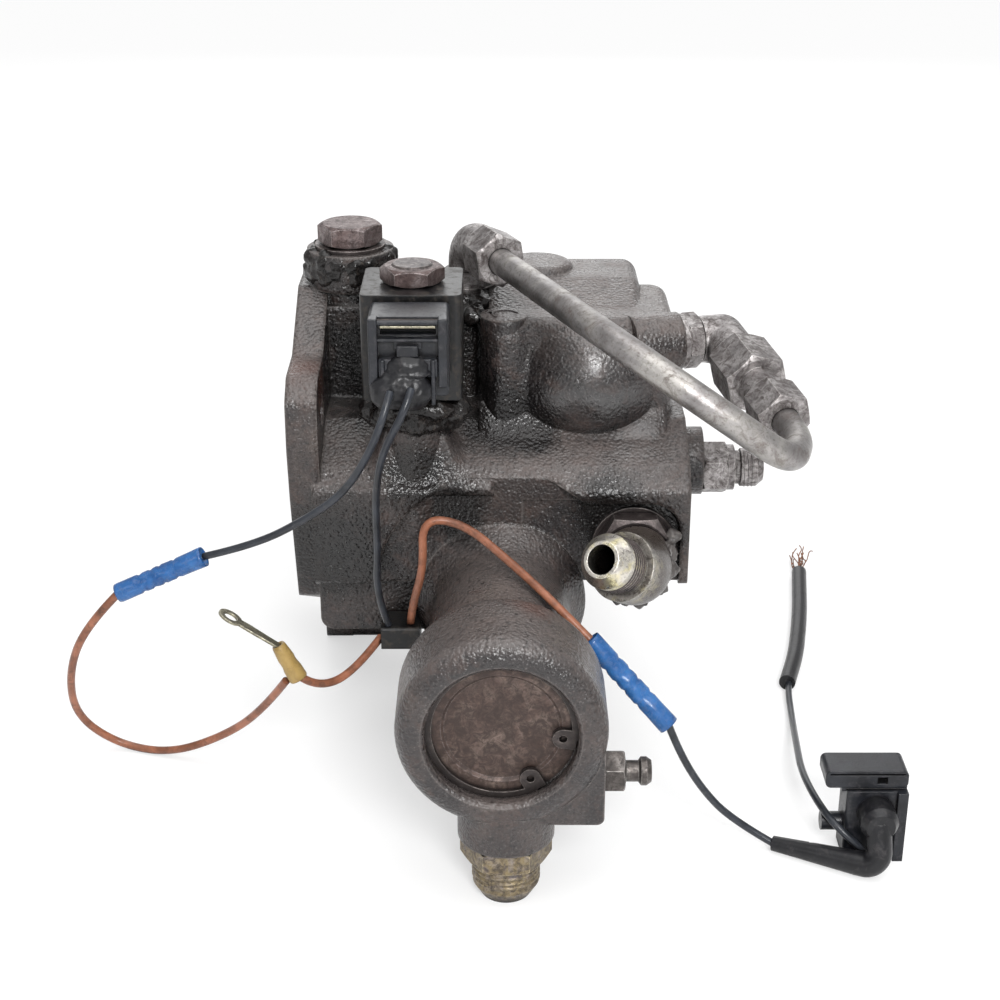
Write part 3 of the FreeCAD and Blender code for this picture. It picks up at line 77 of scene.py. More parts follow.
# %% Camera
CAMERA_AT = Vector((0.074, -0.600, 0.250))
CAMERA_DOWN = 23.5
camera_data = bpy.data.cameras.new("camera")
camera_data.lens = 63.0
camera_data.sensor_width = 36.0
camera = into_scene("camera", camera_data)
camera.location = CAMERA_AT
camera.rotation_euler = (math.radians(90 - CAMERA_DOWN), 0, 0)
bpy.context.scene.camera = camera
print("lens:", camera_data.lens, "mm")

# %% [markdown]
# ## Colours and nodes
# Colours are written as hex, as a paint chart gives them. Blender mixes light in linear numbers, so one
# function turns hex into those. A second one adds a shader node, with its settings, values and links. Where
# an input is another node, its first output in use is linked; stops fill in a colour ramp.

# %% Colour and node helpers
def linear(code):
    parts = [int(code[i:i + 2], 16) / 255 for i in (1, 3, 5)]
    return [c / 12.92 if c <= 0.04045 else ((c + 0.055) / 1.055) ** 2.4 for c in parts] + [1.0]


def add(tree, kind, inputs=(), stops=(), **settings):
    """Adds a node. inputs maps a socket's name or number to a value, a hex colour, an output or a node."""
    node = tree.nodes.new(kind)
    for name, value in settings.items():
        setattr(node, name, value)
    for name, value in dict(inputs).items():
        if isinstance(value, bpy.types.Node):
            value = next(output for output in value.outputs if output.enabled)
        if isinstance(value, bpy.types.NodeSocket):
            tree.links.new(value, node.inputs[name])
        else:
            node.inputs[name].default_value = linear(value) if isinstance(value, str) else value
    for i, (position, value) in enumerate(stops):
        points = node.color_ramp.elements
        stop = points[i] if i < 2 else points.new(position)
        stop.position = position
        stop.color = linear(value) if isinstance(value, str) else [value, value, value, 1.0]
    return node


RAMP = "ShaderNodeValToRGB"
NOISE = "ShaderNodeTexNoise"
MIX = "ShaderNodeMix"
BUMP = "ShaderNodeBump"
BEVEL = "ShaderNodeBevel"
SHARE, UNDER, OVER = 0, 6, 7  # a colour Mix node's inputs: how much of OVER lies on UNDER
MIXED = 2  # and its colour output


def per(size_mm):
    """Noise scale for blotches about size_mm across, in a scene measured in metres."""
    return 1 / (size_mm * MM)


def blank(name, metallic=0.0):
    """A new material with only its surface shader, and where its patterns take their place from."""
    material = bpy.data.materials.new(name)
    material.use_nodes = True
    tree = material.node_tree
    tree.nodes.clear()
    shader = add(tree, "ShaderNodeBsdfPrincipled", {"Metallic": metallic})
    add(tree, "ShaderNodeOutputMaterial", {"Surface": shader})
    return material, tree, shader, add(tree, "ShaderNodeTexCoord").outputs["Object"]


def edge_mask(tree, radius_mm, low, high):
    """1 at edges and 0 on flats: how far a rounded normal leans away from the true one."""
    soft = add(tree, BEVEL, {"Radius": radius_mm * MM}, samples=6)
    true = add(tree, "ShaderNodeNewGeometry").outputs["Normal"]
    lean = add(tree, "ShaderNodeVectorMath", {0: soft, 1: true}, operation="DOT_PRODUCT")
    return add(tree, RAMP, {"Fac": lean.outputs["Value"]}, [(low, 1.0), (high, 0.0)])


def corner_shade_mask(tree, reach_mm, low, high):
    """1 deep in corners and 0 in the open, by ambient occlusion: a mask for painted shade in corners."""
    open_air = add(tree, "ShaderNodeAmbientOcclusion", {"Distance": reach_mm * MM}, samples=8)
    return add(tree, RAMP, {"Fac": open_air.outputs["AO"]}, [(low, 1.0), (high, 0.0)])


def spot_mask(tree, place, spots, ragged):
    """1 round each (centre, radius) in millimetres, with an edge as ragged as the noise given."""
    whole = None
    for centre, radius in spots:
        away = add(tree, "ShaderNodeVectorMath", {0: place, 1: [c * MM for c in centre]}, operation="DISTANCE")
        torn = add(tree, "ShaderNodeMath", {0: ragged, 1: 0.9 * radius * MM, 2: away.outputs["Value"]},
                   operation="MULTIPLY_ADD")
        spot = add(tree, "ShaderNodeMapRange", {
            "Value": torn, "From Min": 1.15 * radius * MM, "From Max": 1.65 * radius * MM,
            "To Min": 1.0, "To Max": 0.0})
        whole = spot if whole is None else add(tree, "ShaderNodeMath", {0: whole, 1: spot}, operation="MAXIMUM")
    return whole


# %% [markdown]
# ## Floor and light
# The valve stands on a pale floor in soft studio light. One wide source above lights the floor evenly, a lamp
# beside the camera makes the oily grain glint, a weak one at the front left opens the shadows, and a low one
# behind puts a sheen on level faces. The surround is white to the camera, about two thirds of white in
# reflections, so that metal has something pale to mirror, and lights the object at a quarter of white.

# %% Floor, lamps and surround
FLOOR_Z = -0.1033  # the lowest point of the valve and its leads
floor_corners = [(-6, -3, FLOOR_Z), (6, -3, FLOOR_Z), (6, 9, FLOOR_Z), (-6, 9, FLOOR_Z)]
floor_mesh = bpy.data.meshes.new("floor")
floor_mesh.from_pydata(floor_corners, [], [(0, 1, 2, 3)])
floor = into_scene("floor", floor_mesh)
paper, tree, shader, place = blank("matt_white_paper")
shader.inputs["Base Color"].default_value = linear("#f7f7f7")
shader.inputs["Roughness"].default_value = 0.9
shine = add(tree, "ShaderNodeEmission", {"Color": "#ffffff", "Strength": 1.0})
ray = add(tree, "ShaderNodeLightPath")
# The camera sees the paper half as paper with its shadow and half as plain white.
seen = add(tree, "ShaderNodeMixShader", {0: 0.55, 1: shader, 2: shine})
lit = add(tree, "ShaderNodeMixShader", {0: ray.outputs["Is Camera Ray"], 1: shader, 2: seen})
tree.links.new(lit.outputs["Shader"], tree.nodes["Material Output"].inputs["Surface"])
floor_mesh.materials.append(paper)

sky = bpy.data.lights.new("overhead", "SUN")
sky.energy = 2.35
sky.angle = math.radians(65)
sky_object = into_scene("overhead", sky)
sky_object.rotation_euler = (math.radians(5), math.radians(6), 0)


def lamp(name, at, aim, size, power):
    data = bpy.data.lights.new(name, "AREA")
    data.size = size
    data.energy = power
    lamp_object = into_scene(name, data)
    lamp_object.location = at
    lamp_object.rotation_euler = (Vector(aim) - Vector(at)).to_track_quat("-Z", "Y").to_euler()
    print(f"{name}: {size} m, {power} W")


# name, place, where it aims, side in metres, watts
lamp("by_the_camera", (0.24, -0.92, 0.56), (0.10, -0.03, 0.03), 0.28, 10.0)
lamp("front_left", (-0.85, -0.9, 0.60), (0.07, -0.05, 0.0), 0.25, 1.4)
lamp("low_behind", (0.12, 1.25, 0.62), (0.08, 0.03, 0.05), 0.9, 4.6)

world = bpy.data.worlds.new("surround")
bpy.context.scene.world = world
world.use_nodes = True
tree = world.node_tree
tree.nodes.clear()
ray = add(tree, "ShaderNodeLightPath")
clear_view = add(tree, "ShaderNodeMath", {
    0: ray.outputs["Is Camera Ray"], 1: ray.outputs["Is Transmission Ray"]}, operation="MAXIMUM")
low = add(tree, "ShaderNodeBackground", {"Color": "#ffffff", "Strength": 0.24})
gloss = add(tree, "ShaderNodeBackground", {"Color": "#ffffff", "Strength": 0.62})
white = add(tree, "ShaderNodeBackground", {"Color": "#ffffff", "Strength": 1.0})
soft = add(tree, "ShaderNodeMixShader", {0: ray.outputs["Is Glossy Ray"], 1: low, 2: gloss})
mix = add(tree, "ShaderNodeMixShader", {0: clear_view, 1: soft, 2: white})
add(tree, "ShaderNodeOutputWorld", {"Surface": mix})
bpy.context.scene.view_settings.view_transform = "Standard"

# %% [markdown]
# ## Cast iron
# The housing is grey iron cast in sand, never painted, and soaked with oil and dust. Sand leaves a grain of
# about a millimetre that glints where oil wets it, and pale specks on the fine grit are painted glints. Dust
# makes open faces paler and browner, and corners are darkened to near black as painted shade. Noises of different
# size
# drive this: blotches, stains, grain and fine grit. The Bevel node rounds the edges in the light alone, which
# saves modelling every cast corner. A few places are darker than dust: the hollow behind the coil is painted near
# black as shade, the corner left of the round boss and the lower left of the front face hold wet black grease,
# and the mounting flange's rim has begun to rust. Where oil still stands in a film, as on the round swelling, a
# clear coat gives the broad highlight of a wet casting. Those are painted by their place.

# %% Cast iron
# Each spot is (centre, radius) in millimetres.
# The first spot paints shade: the hollow behind the coil, near black.
GREASE_AND_SHADE_SPOTS = [
    ((40, 6, 40), 34), ((44, -38, 14), 13), ((74, -12, 26), 17), ((12, -42, -20), 26), ((30, -40, -60), 22),
    ((58, -38, 0), 12), ((128, -32, -8), 16), ((64, 24, 60), 11), ((19, 28, 66), 17), ((112, -36, 0), 14),
    ((84, -16, 24), 12)]
OIL_FILM = [((106, -19, 40), 17), ((74, -112, -22), 15), ((122, -22, 22), 9)]
RUSTY_RIM = [((0, -20, 62), 16), ((4, -20, 40), 12), ((4, 60, 50), 14), ((60, -75, 4), 15), ((88, -100, 5), 12)]


def oily_cast_iron():
    """Grey iron from a sand mould: to the eye dark, grainy and wet in places, never a clean metal."""
    material, tree, shader, place = blank("oily_cast_iron")
    blotch = add(tree, NOISE, {
        "Vector": place, "Scale": per(30), "Detail": 4, "Roughness": 0.6, "Distortion": 0.4})
    stain = add(tree, NOISE, {
        "Vector": place, "Scale": per(9), "Detail": 5, "Roughness": 0.7, "Distortion": 0.8})
    grain = add(tree, NOISE, {"Vector": place, "Scale": per(1.6), "Detail": 3, "Roughness": 0.6})
    grit = add(tree, NOISE, {"Vector": place, "Scale": per(0.75), "Detail": 2, "Roughness": 0.6})
    sand = add(tree, "ShaderNodeTexVoronoi", {"Vector": place, "Scale": per(1.15), "Smoothness": 0.6},
               feature="SMOOTH_F1")
    base = add(tree, RAMP, {"Fac": blotch}, [
        (0.30, "#181516"), (0.46, "#292525"), (0.60, "#38312f"), (0.75, "#4a413c")])
    brown = add(tree, RAMP, {"Fac": stain}, [(0.50, 0.0), (0.68, 0.55)])
    browned = add(tree, MIX, {SHARE: brown, UNDER: base, OVER: "#45352f"}, data_type="RGBA")
    # Dust settles on what faces up.
    normal = add(tree, "ShaderNodeNewGeometry").outputs["Normal"]
    facing = add(tree, "ShaderNodeSeparateXYZ", {0: normal})
    upward = add(tree, RAMP, {"Fac": facing.outputs["Z"]}, [(0.30, 0.0), (0.95, 0.38)])
    dusted = add(tree, MIX, {SHARE: upward, UNDER: browned, OVER: "#746c69"}, data_type="RGBA")
    # Painted glints: pale specks on the fine grit stand in for the glints of oily sand grain.
    painted_glint = add(tree, RAMP, {"Fac": grit}, [(0.58, 0.0), (0.74, 0.28)])
    glint_painted = add(tree, MIX, {SHARE: painted_glint, UNDER: dusted, OVER: "#85807d"}, data_type="RGBA")
    pits = add(tree, RAMP, {"Fac": grain}, [(0.30, 0.80), (0.46, 0.0)])
    pitted = add(tree, MIX, {SHARE: pits, UNDER: glint_painted, OVER: "#191717"}, data_type="RGBA")
    rim = spot_mask(tree, place, RUSTY_RIM, stain)
    rust_share = add(tree, "ShaderNodeMath", {0: rim, 1: 0.55}, operation="MULTIPLY")
    rusted = add(tree, MIX, {SHARE: rust_share, UNDER: pitted, OVER: "#5a3a30"}, data_type="RGBA")
    rubbed = edge_mask(tree, 1.2, 0.86, 0.985)
    worn = add(tree, MIX, {SHARE: rubbed, UNDER: rusted, OVER: "#625c59"}, data_type="RGBA")
    wet = spot_mask(tree, place, GREASE_AND_SHADE_SPOTS, stain)
    # Painted shade: corners within 18 mm turn near black by ambient occlusion, on top of the grease spots.
    deep = add(tree, "ShaderNodeMath", {0: wet, 1: corner_shade_mask(tree, 18, 0.25, 0.68)}, operation="MAXIMUM")
    cover = add(tree, "ShaderNodeMath", {0: deep, 1: 0.88}, operation="MULTIPLY")
    greased_and_shaded = add(tree, MIX, {SHARE: cover, UNDER: worn, OVER: "#0c0b0b"}, data_type="RGBA")
    tree.links.new(greased_and_shaded.outputs[MIXED], shader.inputs["Base Color"])
    film = add(tree, RAMP, {"Fac": stain}, [(0.36, 0.22), (0.64, 0.42)])
    gloss = add(tree, MIX, {SHARE: cover, UNDER: film, OVER: [0.20, 0.20, 0.20, 1.0]}, data_type="RGBA")
    tree.links.new(gloss.outputs[MIXED], shader.inputs["Roughness"])
    shader.inputs["Specular IOR Level"].default_value = 0.5
    film_spots = spot_mask(tree, place, OIL_FILM, stain)
    oiled = add(tree, "ShaderNodeMath", {0: film_spots, 1: 0.9}, operation="MULTIPLY")
    tree.links.new(oiled.outputs["Value"], shader.inputs["Coat Weight"])
    shader.inputs["Coat Roughness"].default_value = 0.15
    soft = add(tree, BEVEL, {"Radius": 2.6 * MM}, samples=8)
    coarse = add(tree, BUMP, {"Strength": 0.6, "Distance": 0.40 * MM, "Height": grain, "Normal": soft})
    knobs = add(tree, BUMP, {
        "Strength": 0.9, "Distance": 0.42 * MM, "Height": sand, "Normal": coarse}, invert=True)
    fine = add(tree, BUMP, {"Strength": 0.6, "Distance": 0.25 * MM, "Height": grit, "Normal": knobs})
    tree.links.new(fine.outputs["Normal"], shader.inputs["Normal"])
    tree.links.new(coarse.outputs["Normal"], shader.inputs["Coat Normal"])
    return material


# %% [markdown]
# ## Steel finishes
# Every steel piece here is zinc-plated or bare, and has aged in its own way. They share one recipe: a metal
# base with two tones of tarnish, grime, painted shade in the corners, bright worn edges and a faint turned or
# rolled grain.
# Only the colours, the gloss and the share of dirt differ, so one function builds them all.

# %% Aged steel
def aged_steel(name, tones, grime, dirt, rough, bright, metallic=0.85, patch_mm=9.0, caked=(), hollow_mm=5):
    """tones are three hex colours of the plating; grime covers the share dirt and all of the caked spots.
    bright colours rubbed edges, patch_mm is the tarnish's size and hollow_mm how far painted shade
    reaches into corners."""
    material, tree, shader, place = blank(name, metallic)
    patch = add(tree, NOISE, {
        "Vector": place, "Scale": per(patch_mm), "Detail": 4, "Roughness": 0.6, "Distortion": 0.6})
    fleck = add(tree, NOISE, {"Vector": place, "Scale": per(1.1), "Detail": 3, "Roughness": 0.65})
    film = add(tree, NOISE, {
        "Vector": place, "Scale": per(patch_mm * 0.45), "Detail": 6, "Roughness": 0.75, "Distortion": 1.0})
    plating = add(tree, RAMP, {"Fac": patch}, [(0.32, tones[0]), (0.50, tones[1]), (0.68, tones[2])])
    flecks = add(tree, RAMP, {"Fac": fleck}, [(0.52, 0.0), (0.72, 0.55)])
    flecked = add(tree, MIX, {SHARE: flecks, UNDER: plating, OVER: grime}, data_type="RGBA")
    rubbed = edge_mask(tree, 0.5, 0.90, 0.992)
    edges = add(tree, MIX, {SHARE: rubbed, UNDER: flecked, OVER: bright}, data_type="RGBA")
    cover = add(tree, RAMP, {"Fac": film}, [(0.66 - dirt * 0.5, 0.0), (0.80 - dirt * 0.4, 0.9)])
    if caked:
        cake = spot_mask(tree, place, caked, film)
        cover = add(tree, "ShaderNodeMath", {0: cover, 1: cake}, operation="MAXIMUM")
    dirty = add(tree, MIX, {SHARE: cover, UNDER: edges, OVER: grime}, data_type="RGBA")
    # Painted shade: corners darken to near black by ambient occlusion.
    corners = corner_shade_mask(tree, hollow_mm, 0.25, 0.70)
    final = add(tree, MIX, {SHARE: corners, UNDER: dirty, OVER: "#151110"}, data_type="RGBA")
    tree.links.new(final.outputs[MIXED], shader.inputs["Base Color"])
    gloss = add(tree, RAMP, {"Fac": film}, [(0.30, rough), (0.75, min(rough + 0.33, 0.9))])
    tree.links.new(gloss.outputs["Color"], shader.inputs["Roughness"])
    metal = add(tree, RAMP, {"Fac": cover}, [(0.0, metallic), (1.0, metallic * 0.35)])
    tree.links.new(metal.outputs["Color"], shader.inputs["Metallic"])
    soft = add(tree, BEVEL, {"Radius": 0.5 * MM}, samples=6)
    bump = add(tree, BUMP, {"Strength": 0.45, "Distance": 0.16 * MM, "Height": fleck, "Normal": soft})
    crust = add(tree, BUMP, {"Strength": 0.6, "Distance": 0.22 * MM, "Height": film, "Normal": bump})
    tree.links.new(crust.outputs["Normal"], shader.inputs["Normal"])
    return material


# %% Iron, steel and copper on this valve
FINISH = {
    # Grey iron cast in sand, oiled for years: dark, grainy and wet in places.
    "cast_iron": oily_cast_iron(),
    # Forged hexagons whose plating has gone: violet-brown rust, rubbed paler on the corners.
    "brown_steel": aged_steel(
        "rust_browned_steel", ("#4e3f3d", "#6a5c5a", "#867c7b"), grime="#2e2120", dirt=0.45, rough=0.34,
        bright="#a79f9d", metallic=0.72, patch_mm=6.0),
    # A turned disc that has rusted behind its ring: mottled brown, hardly any mirror left.
    "plug_steel": aged_steel(
        "rusty_machined_disc", ("#40322d", "#564640", "#6f6058"), grime="#2a1e19", dirt=0.58, rough=0.38,
        bright="#8a807d", metallic=0.55, patch_mm=7.0),
    # Oil-tempered spring steel: nearly black, with a dull shine.
    "ring_steel": aged_steel(
        "oiled_spring_steel", ("#2f2a29", "#3d3735", "#4e4745"), grime="#1d1716", dirt=0.48, rough=0.32,
        bright="#77706c", metallic=0.7, patch_mm=6.0),
    # Drawn tube, zinc-plated: long soft tarnish along it and a silky shine.
    "tube_zinc": aged_steel(
        "zinc_plated_tube", ("#726f6e", "#8a8786", "#a19e9a"), grime="#493d35", dirt=0.30, rough=0.30,
        bright="#bcb9b6", metallic=0.85, patch_mm=16.0),
    # Machined fittings, zinc-plated: paler than the tube, with painted shade in every corner of a hexagon.
    "fitting_zinc": aged_steel(
        "zinc_plated_fittings", ("#767272", "#979392", "#b4b0af"), grime="#352b28", dirt=0.46, rough=0.28,
        bright="#cdc8c5", metallic=0.82, patch_mm=7.0),
    # A fresh flare face: the brightest metal here, with a yellow tinge and grime caked round its root.
    # Its painted shade in corners reaches farther than on the other steels.
    "bright_zinc": aged_steel(
        "bright_zinc_flare", ("#a39f9a", "#c4bfb6", "#cfc69f"), grime="#3f3833", dirt=0.16, rough=0.17,
        bright="#ece8df", metallic=0.92, patch_mm=6.0, caked=[((122, -53, -14), 23)], hollow_mm=13),
    # The same steel under black oil: brown-black, with wet highlights.
    "dark_steel": aged_steel(
        "oil_darkened_steel", ("#3b3434", "#4e4645", "#655d5b"), grime="#1f1918", dirt=0.45, rough=0.28,
        bright="#a39b97", metallic=0.7, patch_mm=6.0),
    # Zinc with a yellow passivation, half worn off: olive over grey.
    "yellow_zinc": aged_steel(
        "yellow_chromate_zinc", ("#6b6464", "#85775a", "#8f8680"), grime="#322a26", dirt=0.46, rough=0.30,
        bright="#c9bc9c", metallic=0.8, patch_mm=6.0),
    # A small turned nipple: dull grey-brown under an oil film.
    "nipple_zinc": aged_steel(
        "oiled_zinc_nipple", ("#433f3d", "#5a5552", "#77726f"), grime="#26211f", dirt=0.38, rough=0.28,
        bright="#a5a19d", metallic=0.82, patch_mm=5.0),
    # Ground and hardened valve steel, washed by oil: clean, even and bright.
    "bare_steel": aged_steel(
        "ground_valve_steel", ("#8f8f8f", "#a2a2a1", "#b0afab"), grime="#6c6a66", dirt=0.05, rough=0.24,
        bright="#d0d0ce", metallic=0.95, patch_mm=10.0),
    # Annealed sealing copper: brown with a pink shine where it is rubbed.
    "copper": aged_steel(
        "soft_copper", ("#442a20", "#5f3c2b", "#7a4e38"), grime="#241a16", dirt=0.25, rough=0.35,
        bright="#b8805f", metallic=0.9, patch_mm=4.0),
    # Tin-plated brass: straw-grey, tarnished in small patches.
    "tinned": aged_steel(
        "tarnished_tin_plate", ("#6d695d", "#8b8674", "#a7a28c"), grime="#3a352b", dirt=0.35, rough=0.28,
        bright="#cfcab6", metallic=0.85, patch_mm=4.0),
}
print("metal finishes:", len(FINISH))

# %% [markdown]
# ## Plastics and rubber
# The coil and its plug are glass-filled nylon: black, slightly rough and dusted with tan road dirt. Rubber
# boots are softer in gloss. Lead insulation is PVC, which stays shiny where fingers have wiped it. The blue
# splices are translucent nylon, so a little light passes into them.

# %% Moulded plastics
def moulded(name, tones, dust, cover, rough, grain_mm, depth_mm, clear=0.0, dust_mm=3.2):
    """tones are the plastic's two hex colours; dust lies on the share cover of the surface. The mould's grain is
    grain_mm across and depth_mm deep, and clear is how far light passes into the plastic."""
    material, tree, shader, place = blank(name)
    cloud = add(tree, NOISE, {
        "Vector": place, "Scale": per(8), "Detail": 4, "Roughness": 0.6, "Distortion": 0.5})
    grain = add(tree, NOISE, {"Vector": place, "Scale": per(grain_mm), "Detail": 2, "Roughness": 0.5})
    flakes = add(tree, NOISE, {
        "Vector": place, "Scale": per(dust_mm), "Detail": 5, "Roughness": 0.7, "Distortion": 0.6})
    base = add(tree, RAMP, {"Fac": cloud}, [(0.35, tones[0]), (0.62, tones[1])])
    settled = add(tree, RAMP, {"Fac": flakes}, [(0.64 - cover * 0.35, 0.0), (0.82 - cover * 0.2, 0.9)])
    dusty = add(tree, MIX, {SHARE: settled, UNDER: base, OVER: dust}, data_type="RGBA")
    # Painted shade: corners darken to near black by ambient occlusion.
    corners = corner_shade_mask(tree, 4, 0.2, 0.6)
    final = add(tree, MIX, {SHARE: corners, UNDER: dusty, OVER: "#0d0c0c"}, data_type="RGBA")
    tree.links.new(final.outputs[MIXED], shader.inputs["Base Color"])
    gloss = add(tree, RAMP, {"Fac": settled}, [(0.0, rough), (1.0, min(rough + 0.4, 0.95))])
    tree.links.new(gloss.outputs["Color"], shader.inputs["Roughness"])
    shader.inputs["Specular IOR Level"].default_value = 0.32
    if clear:
        shader.inputs["Subsurface Weight"].default_value = clear
        shader.inputs["Subsurface Radius"].default_value = (0.6 * MM, 0.9 * MM, 2.0 * MM)
        shader.inputs["Subsurface Scale"].default_value = 1.0
    soft = add(tree, BEVEL, {"Radius": 0.5 * MM}, samples=6)
    bump = add(tree, BUMP, {"Strength": 0.5, "Distance": depth_mm * MM, "Height": grain, "Normal": soft})
    tree.links.new(bump.outputs["Normal"], shader.inputs["Normal"])
    return material


# %% Plastic, rubber and grease on this valve
FINISH |= {
    # Glass-filled nylon, moulded: black and slightly rough, with tan dirt on it.
    "black_nylon": moulded(
        "dusty_glass_filled_nylon", ("#0a0a0b", "#141415"), dust="#3d3731", cover=0.40, rough=0.34,
        grain_mm=0.9, depth_mm=0.14),
    # The same plastic with more oil in it: blue-black and smoother.
    "plug_nylon": moulded(
        "oiled_connector_nylon", ("#121317", "#1e2025"), dust="#413f42", cover=0.36, rough=0.32, grain_mm=0.7,
        depth_mm=0.08),
    # Moulded rubber that has weathered: charcoal, soft in gloss, finely cracked.
    "rubber": moulded(
        "weathered_black_rubber", ("#0e0e10", "#19191c"), dust="#3c393a", cover=0.28, rough=0.36, grain_mm=1.1,
        depth_mm=0.12),
    # Extruded PVC over stranded wire: black, wiped shiny.
    "black_pvc": moulded(
        "black_pvc_insulation", ("#1f2125", "#2e3137"), dust="#4f4e4c", cover=0.18, rough=0.28, grain_mm=1.4,
        depth_mm=0.03),
    # Extruded PVC, sun-bleached: tan-brown with dark smears.
    "brown_pvc": moulded(
        "brown_pvc_insulation", ("#6c4432", "#946049"), dust="#43342c", cover=0.32, rough=0.34, grain_mm=1.2,
        depth_mm=0.03),
    # Clear blue nylon over a crimped barrel: a little light passes into it.
    "blue_nylon": moulded(
        "blue_nylon_splice", ("#1d4678", "#33639a"), dust="#46577a", cover=0.34, rough=0.24, grain_mm=1.6,
        depth_mm=0.06, clear=0.12, dust_mm=2.2),
    # Yellow nylon that heat and oil have browned to ochre.
    "yellow_nylon": moulded(
        "yellow_nylon_sleeve", ("#836b3c", "#9c8350"), dust="#5c4c34", cover=0.26, rough=0.36, grain_mm=1.3,
        depth_mm=0.05, clear=0.12),
    # Old grease full of grit: black lumps with wet highlights.
    "grease": moulded(
        "black_grease_and_grit", ("#0e0d0d", "#1d1a19"), dust="#3f3833", cover=0.22, rough=0.20, grain_mm=1.0,
        depth_mm=0.35),
    # Grease mixed with metal dust: grey and crumbly.
    "grey_grease": moulded(
        "grey_grease_and_grit", ("#2c2928", "#524e4c"), dust="#77736f", cover=0.30, rough=0.30, grain_mm=1.2,
        depth_mm=0.30),
}
print("all finishes:", len(FINISH))

# %% [markdown]
# ## Dressing the CAD solids
# Most rigid pieces have the right shape already and only need their finish. The list below pairs them.

# %% Assign finishes to CAD nodes
DRESS = {
    "cast_iron": ["valve_body"],
    "plug_steel": ["end_plug"],
    "ring_steel": ["snap_ring", "connector_bail"],
    "brown_steel": ["check_valve_cap", "coil_nut"],
    "dark_steel": ["core_tube", "solenoid_cartridge", "front_elbow_nut", "front_elbow_washer",
                   "check_cap_washer"],
    "tube_zinc": ["jumper_tube"],
    "fitting_zinc": ["top_elbow", "top_elbow_nut", "side_elbow", "side_elbow_nut", "side_adapter",
                     "top_tube_nut", "side_tube_nut", "spool_end_plug", "accumulator_cap", "side_outlet_adapter"],
    "nipple_zinc": ["bleed_nipple"],
    "bright_zinc": ["front_elbow"],
    "yellow_zinc": ["inlet_adapter"],
    "bare_steel": ["inching_piston", "main_spool", "accumulator_piston", "check_poppet", "armature",
                   "pole_piece", "piston_spring", "spool_spring", "accumulator_spring", "check_spring",
                   "armature_spring"],
    "copper": ["spool_end_plug_washer", "accumulator_cap_washer"],
    "rubber": ["end_plug_seal", "piston_cup_seal", "coil_seal", "loose_connector_boot", "tail_sleeve"],
    "black_nylon": ["solenoid_coil", "lead_clip"],
    "plug_nylon": ["loose_connector", "connector_plug"],
}
for finish_name, names in DRESS.items():
    for node_name in names:
        mesh = nodes[node_name].data
        mesh.materials.clear()
        mesh.materials.append(FINISH[finish_name])
print("dressed nodes:", sum(len(names) for names in DRESS.values()))

# %% [markdown]
# ## Spring copies
# Five coil springs push the moving pieces back. One end of each stays put, and the real spring gets shorter as
# its piece comes towards that end. CAD has one length only. The record names each joint's spring. Here a copy of
# it is attached to the housing and the CAD spring is hidden, so the copy keeps the CAD length at every pose.

# %% Spring copies
for joint in frame["record"]["behaviour"]["joints"]:
    shortened = joint["deforming_nodes"][0]
    spring_name = shortened["node"]
    spring = into_scene(spring_name + "_coil", nodes[spring_name].data.copy())
    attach(spring, "housing")
    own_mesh(spring)
    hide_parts(spring_name)

# %% [markdown]
# ## Leads
# Each lead is a stranded wire in PVC. It springs out of its fitting, bends under its own weight and ends in the
# next one. A NURBS curve guided by a few given points gives that line without kinks, and a round bevel
# gives it its thickness. The points are the ones that the CAD solids follow, in millimetres. The curve's line is
# measured before it gets its thickness, because a lead is cut to a length.

# %% Lead routes, in millimetres
BLACK_LEAD = 2.6
BROWN_LEAD = 2.9
ROUTES = {
    "lead_to_left_splice": [
        (38.6, -69.0, 57.0), (36.8, -74.5, 51.0), (31.5, -74.5, 37.5), (22.5, -68.5, 21.5), (9.0, -62.0, 9.2),
        (-10.0, -56.4, -3.2), (-28.6, -52.0, -9.6)],
    "lead_to_clip": [
        (45.4, -69.0, 58.0), (43.5, -75.0, 52.5), (35.5, -71.5, 37.0), (32.2, -63.0, 18.0), (32.0, -55.5, -4.0),
        (30.2, -46.0, -27.5), (33.6, -37.5, -43.6)],
    "lead_left_loop": [
        (-59.4, -52.0, -23.8), (-73.0, -51.0, -38.0), (-82.5, -43.0, -61.0), (-84.5, -32.0, -85.0),
        (-72.0, -24.5, -101.6), (-51.0, -31.5, -101.6), (-30.0, -37.5, -91.0), (-12.5, -50.0, -73.0),
        (-1.2, -61.0, -53.6)],
    "lead_ring_to_clip": [
        (4.6, -61.8, -52.0), (10.5, -60.5, -57.0), (22.0, -49.0, -56.5), (30.7, -36.0, -49.5)],
    "lead_over_neck": [
        (41.6, -35.6, -43.8), (42.6, -43.5, -33.5), (47.5, -52.0, -14.0), (47.0, -49.0, 3.6), (61.5, -48.5, 1.5),
        (78.0, -63.0, -7.0), (91.0, -77.5, -13.5), (104.0, -84.0, -25.0)],
    "lead_to_connector": [
        (130.5, -92.8, -52.8), (134.5, -92.6, -63.5), (143.0, -90.0, -79.5), (154.0, -87.4, -93.5),
        (168.4, -91.9, -100.4)],
    "lead_tail": [
        (198.0, -101.3, -97.4), (192.4, -100.6, -92.4), (184.6, -93.5, -86.5), (181.4, -68.0, -87.5),
        (184.5, -38.0, -93.5), (188.0, -8.0, -101.0), (190.0, 19.0, -100.0), (197.3, 43.5, -99.9),
        (204.5, 79.0, -99.9), (210.9, 121.8, -99.9)],
}


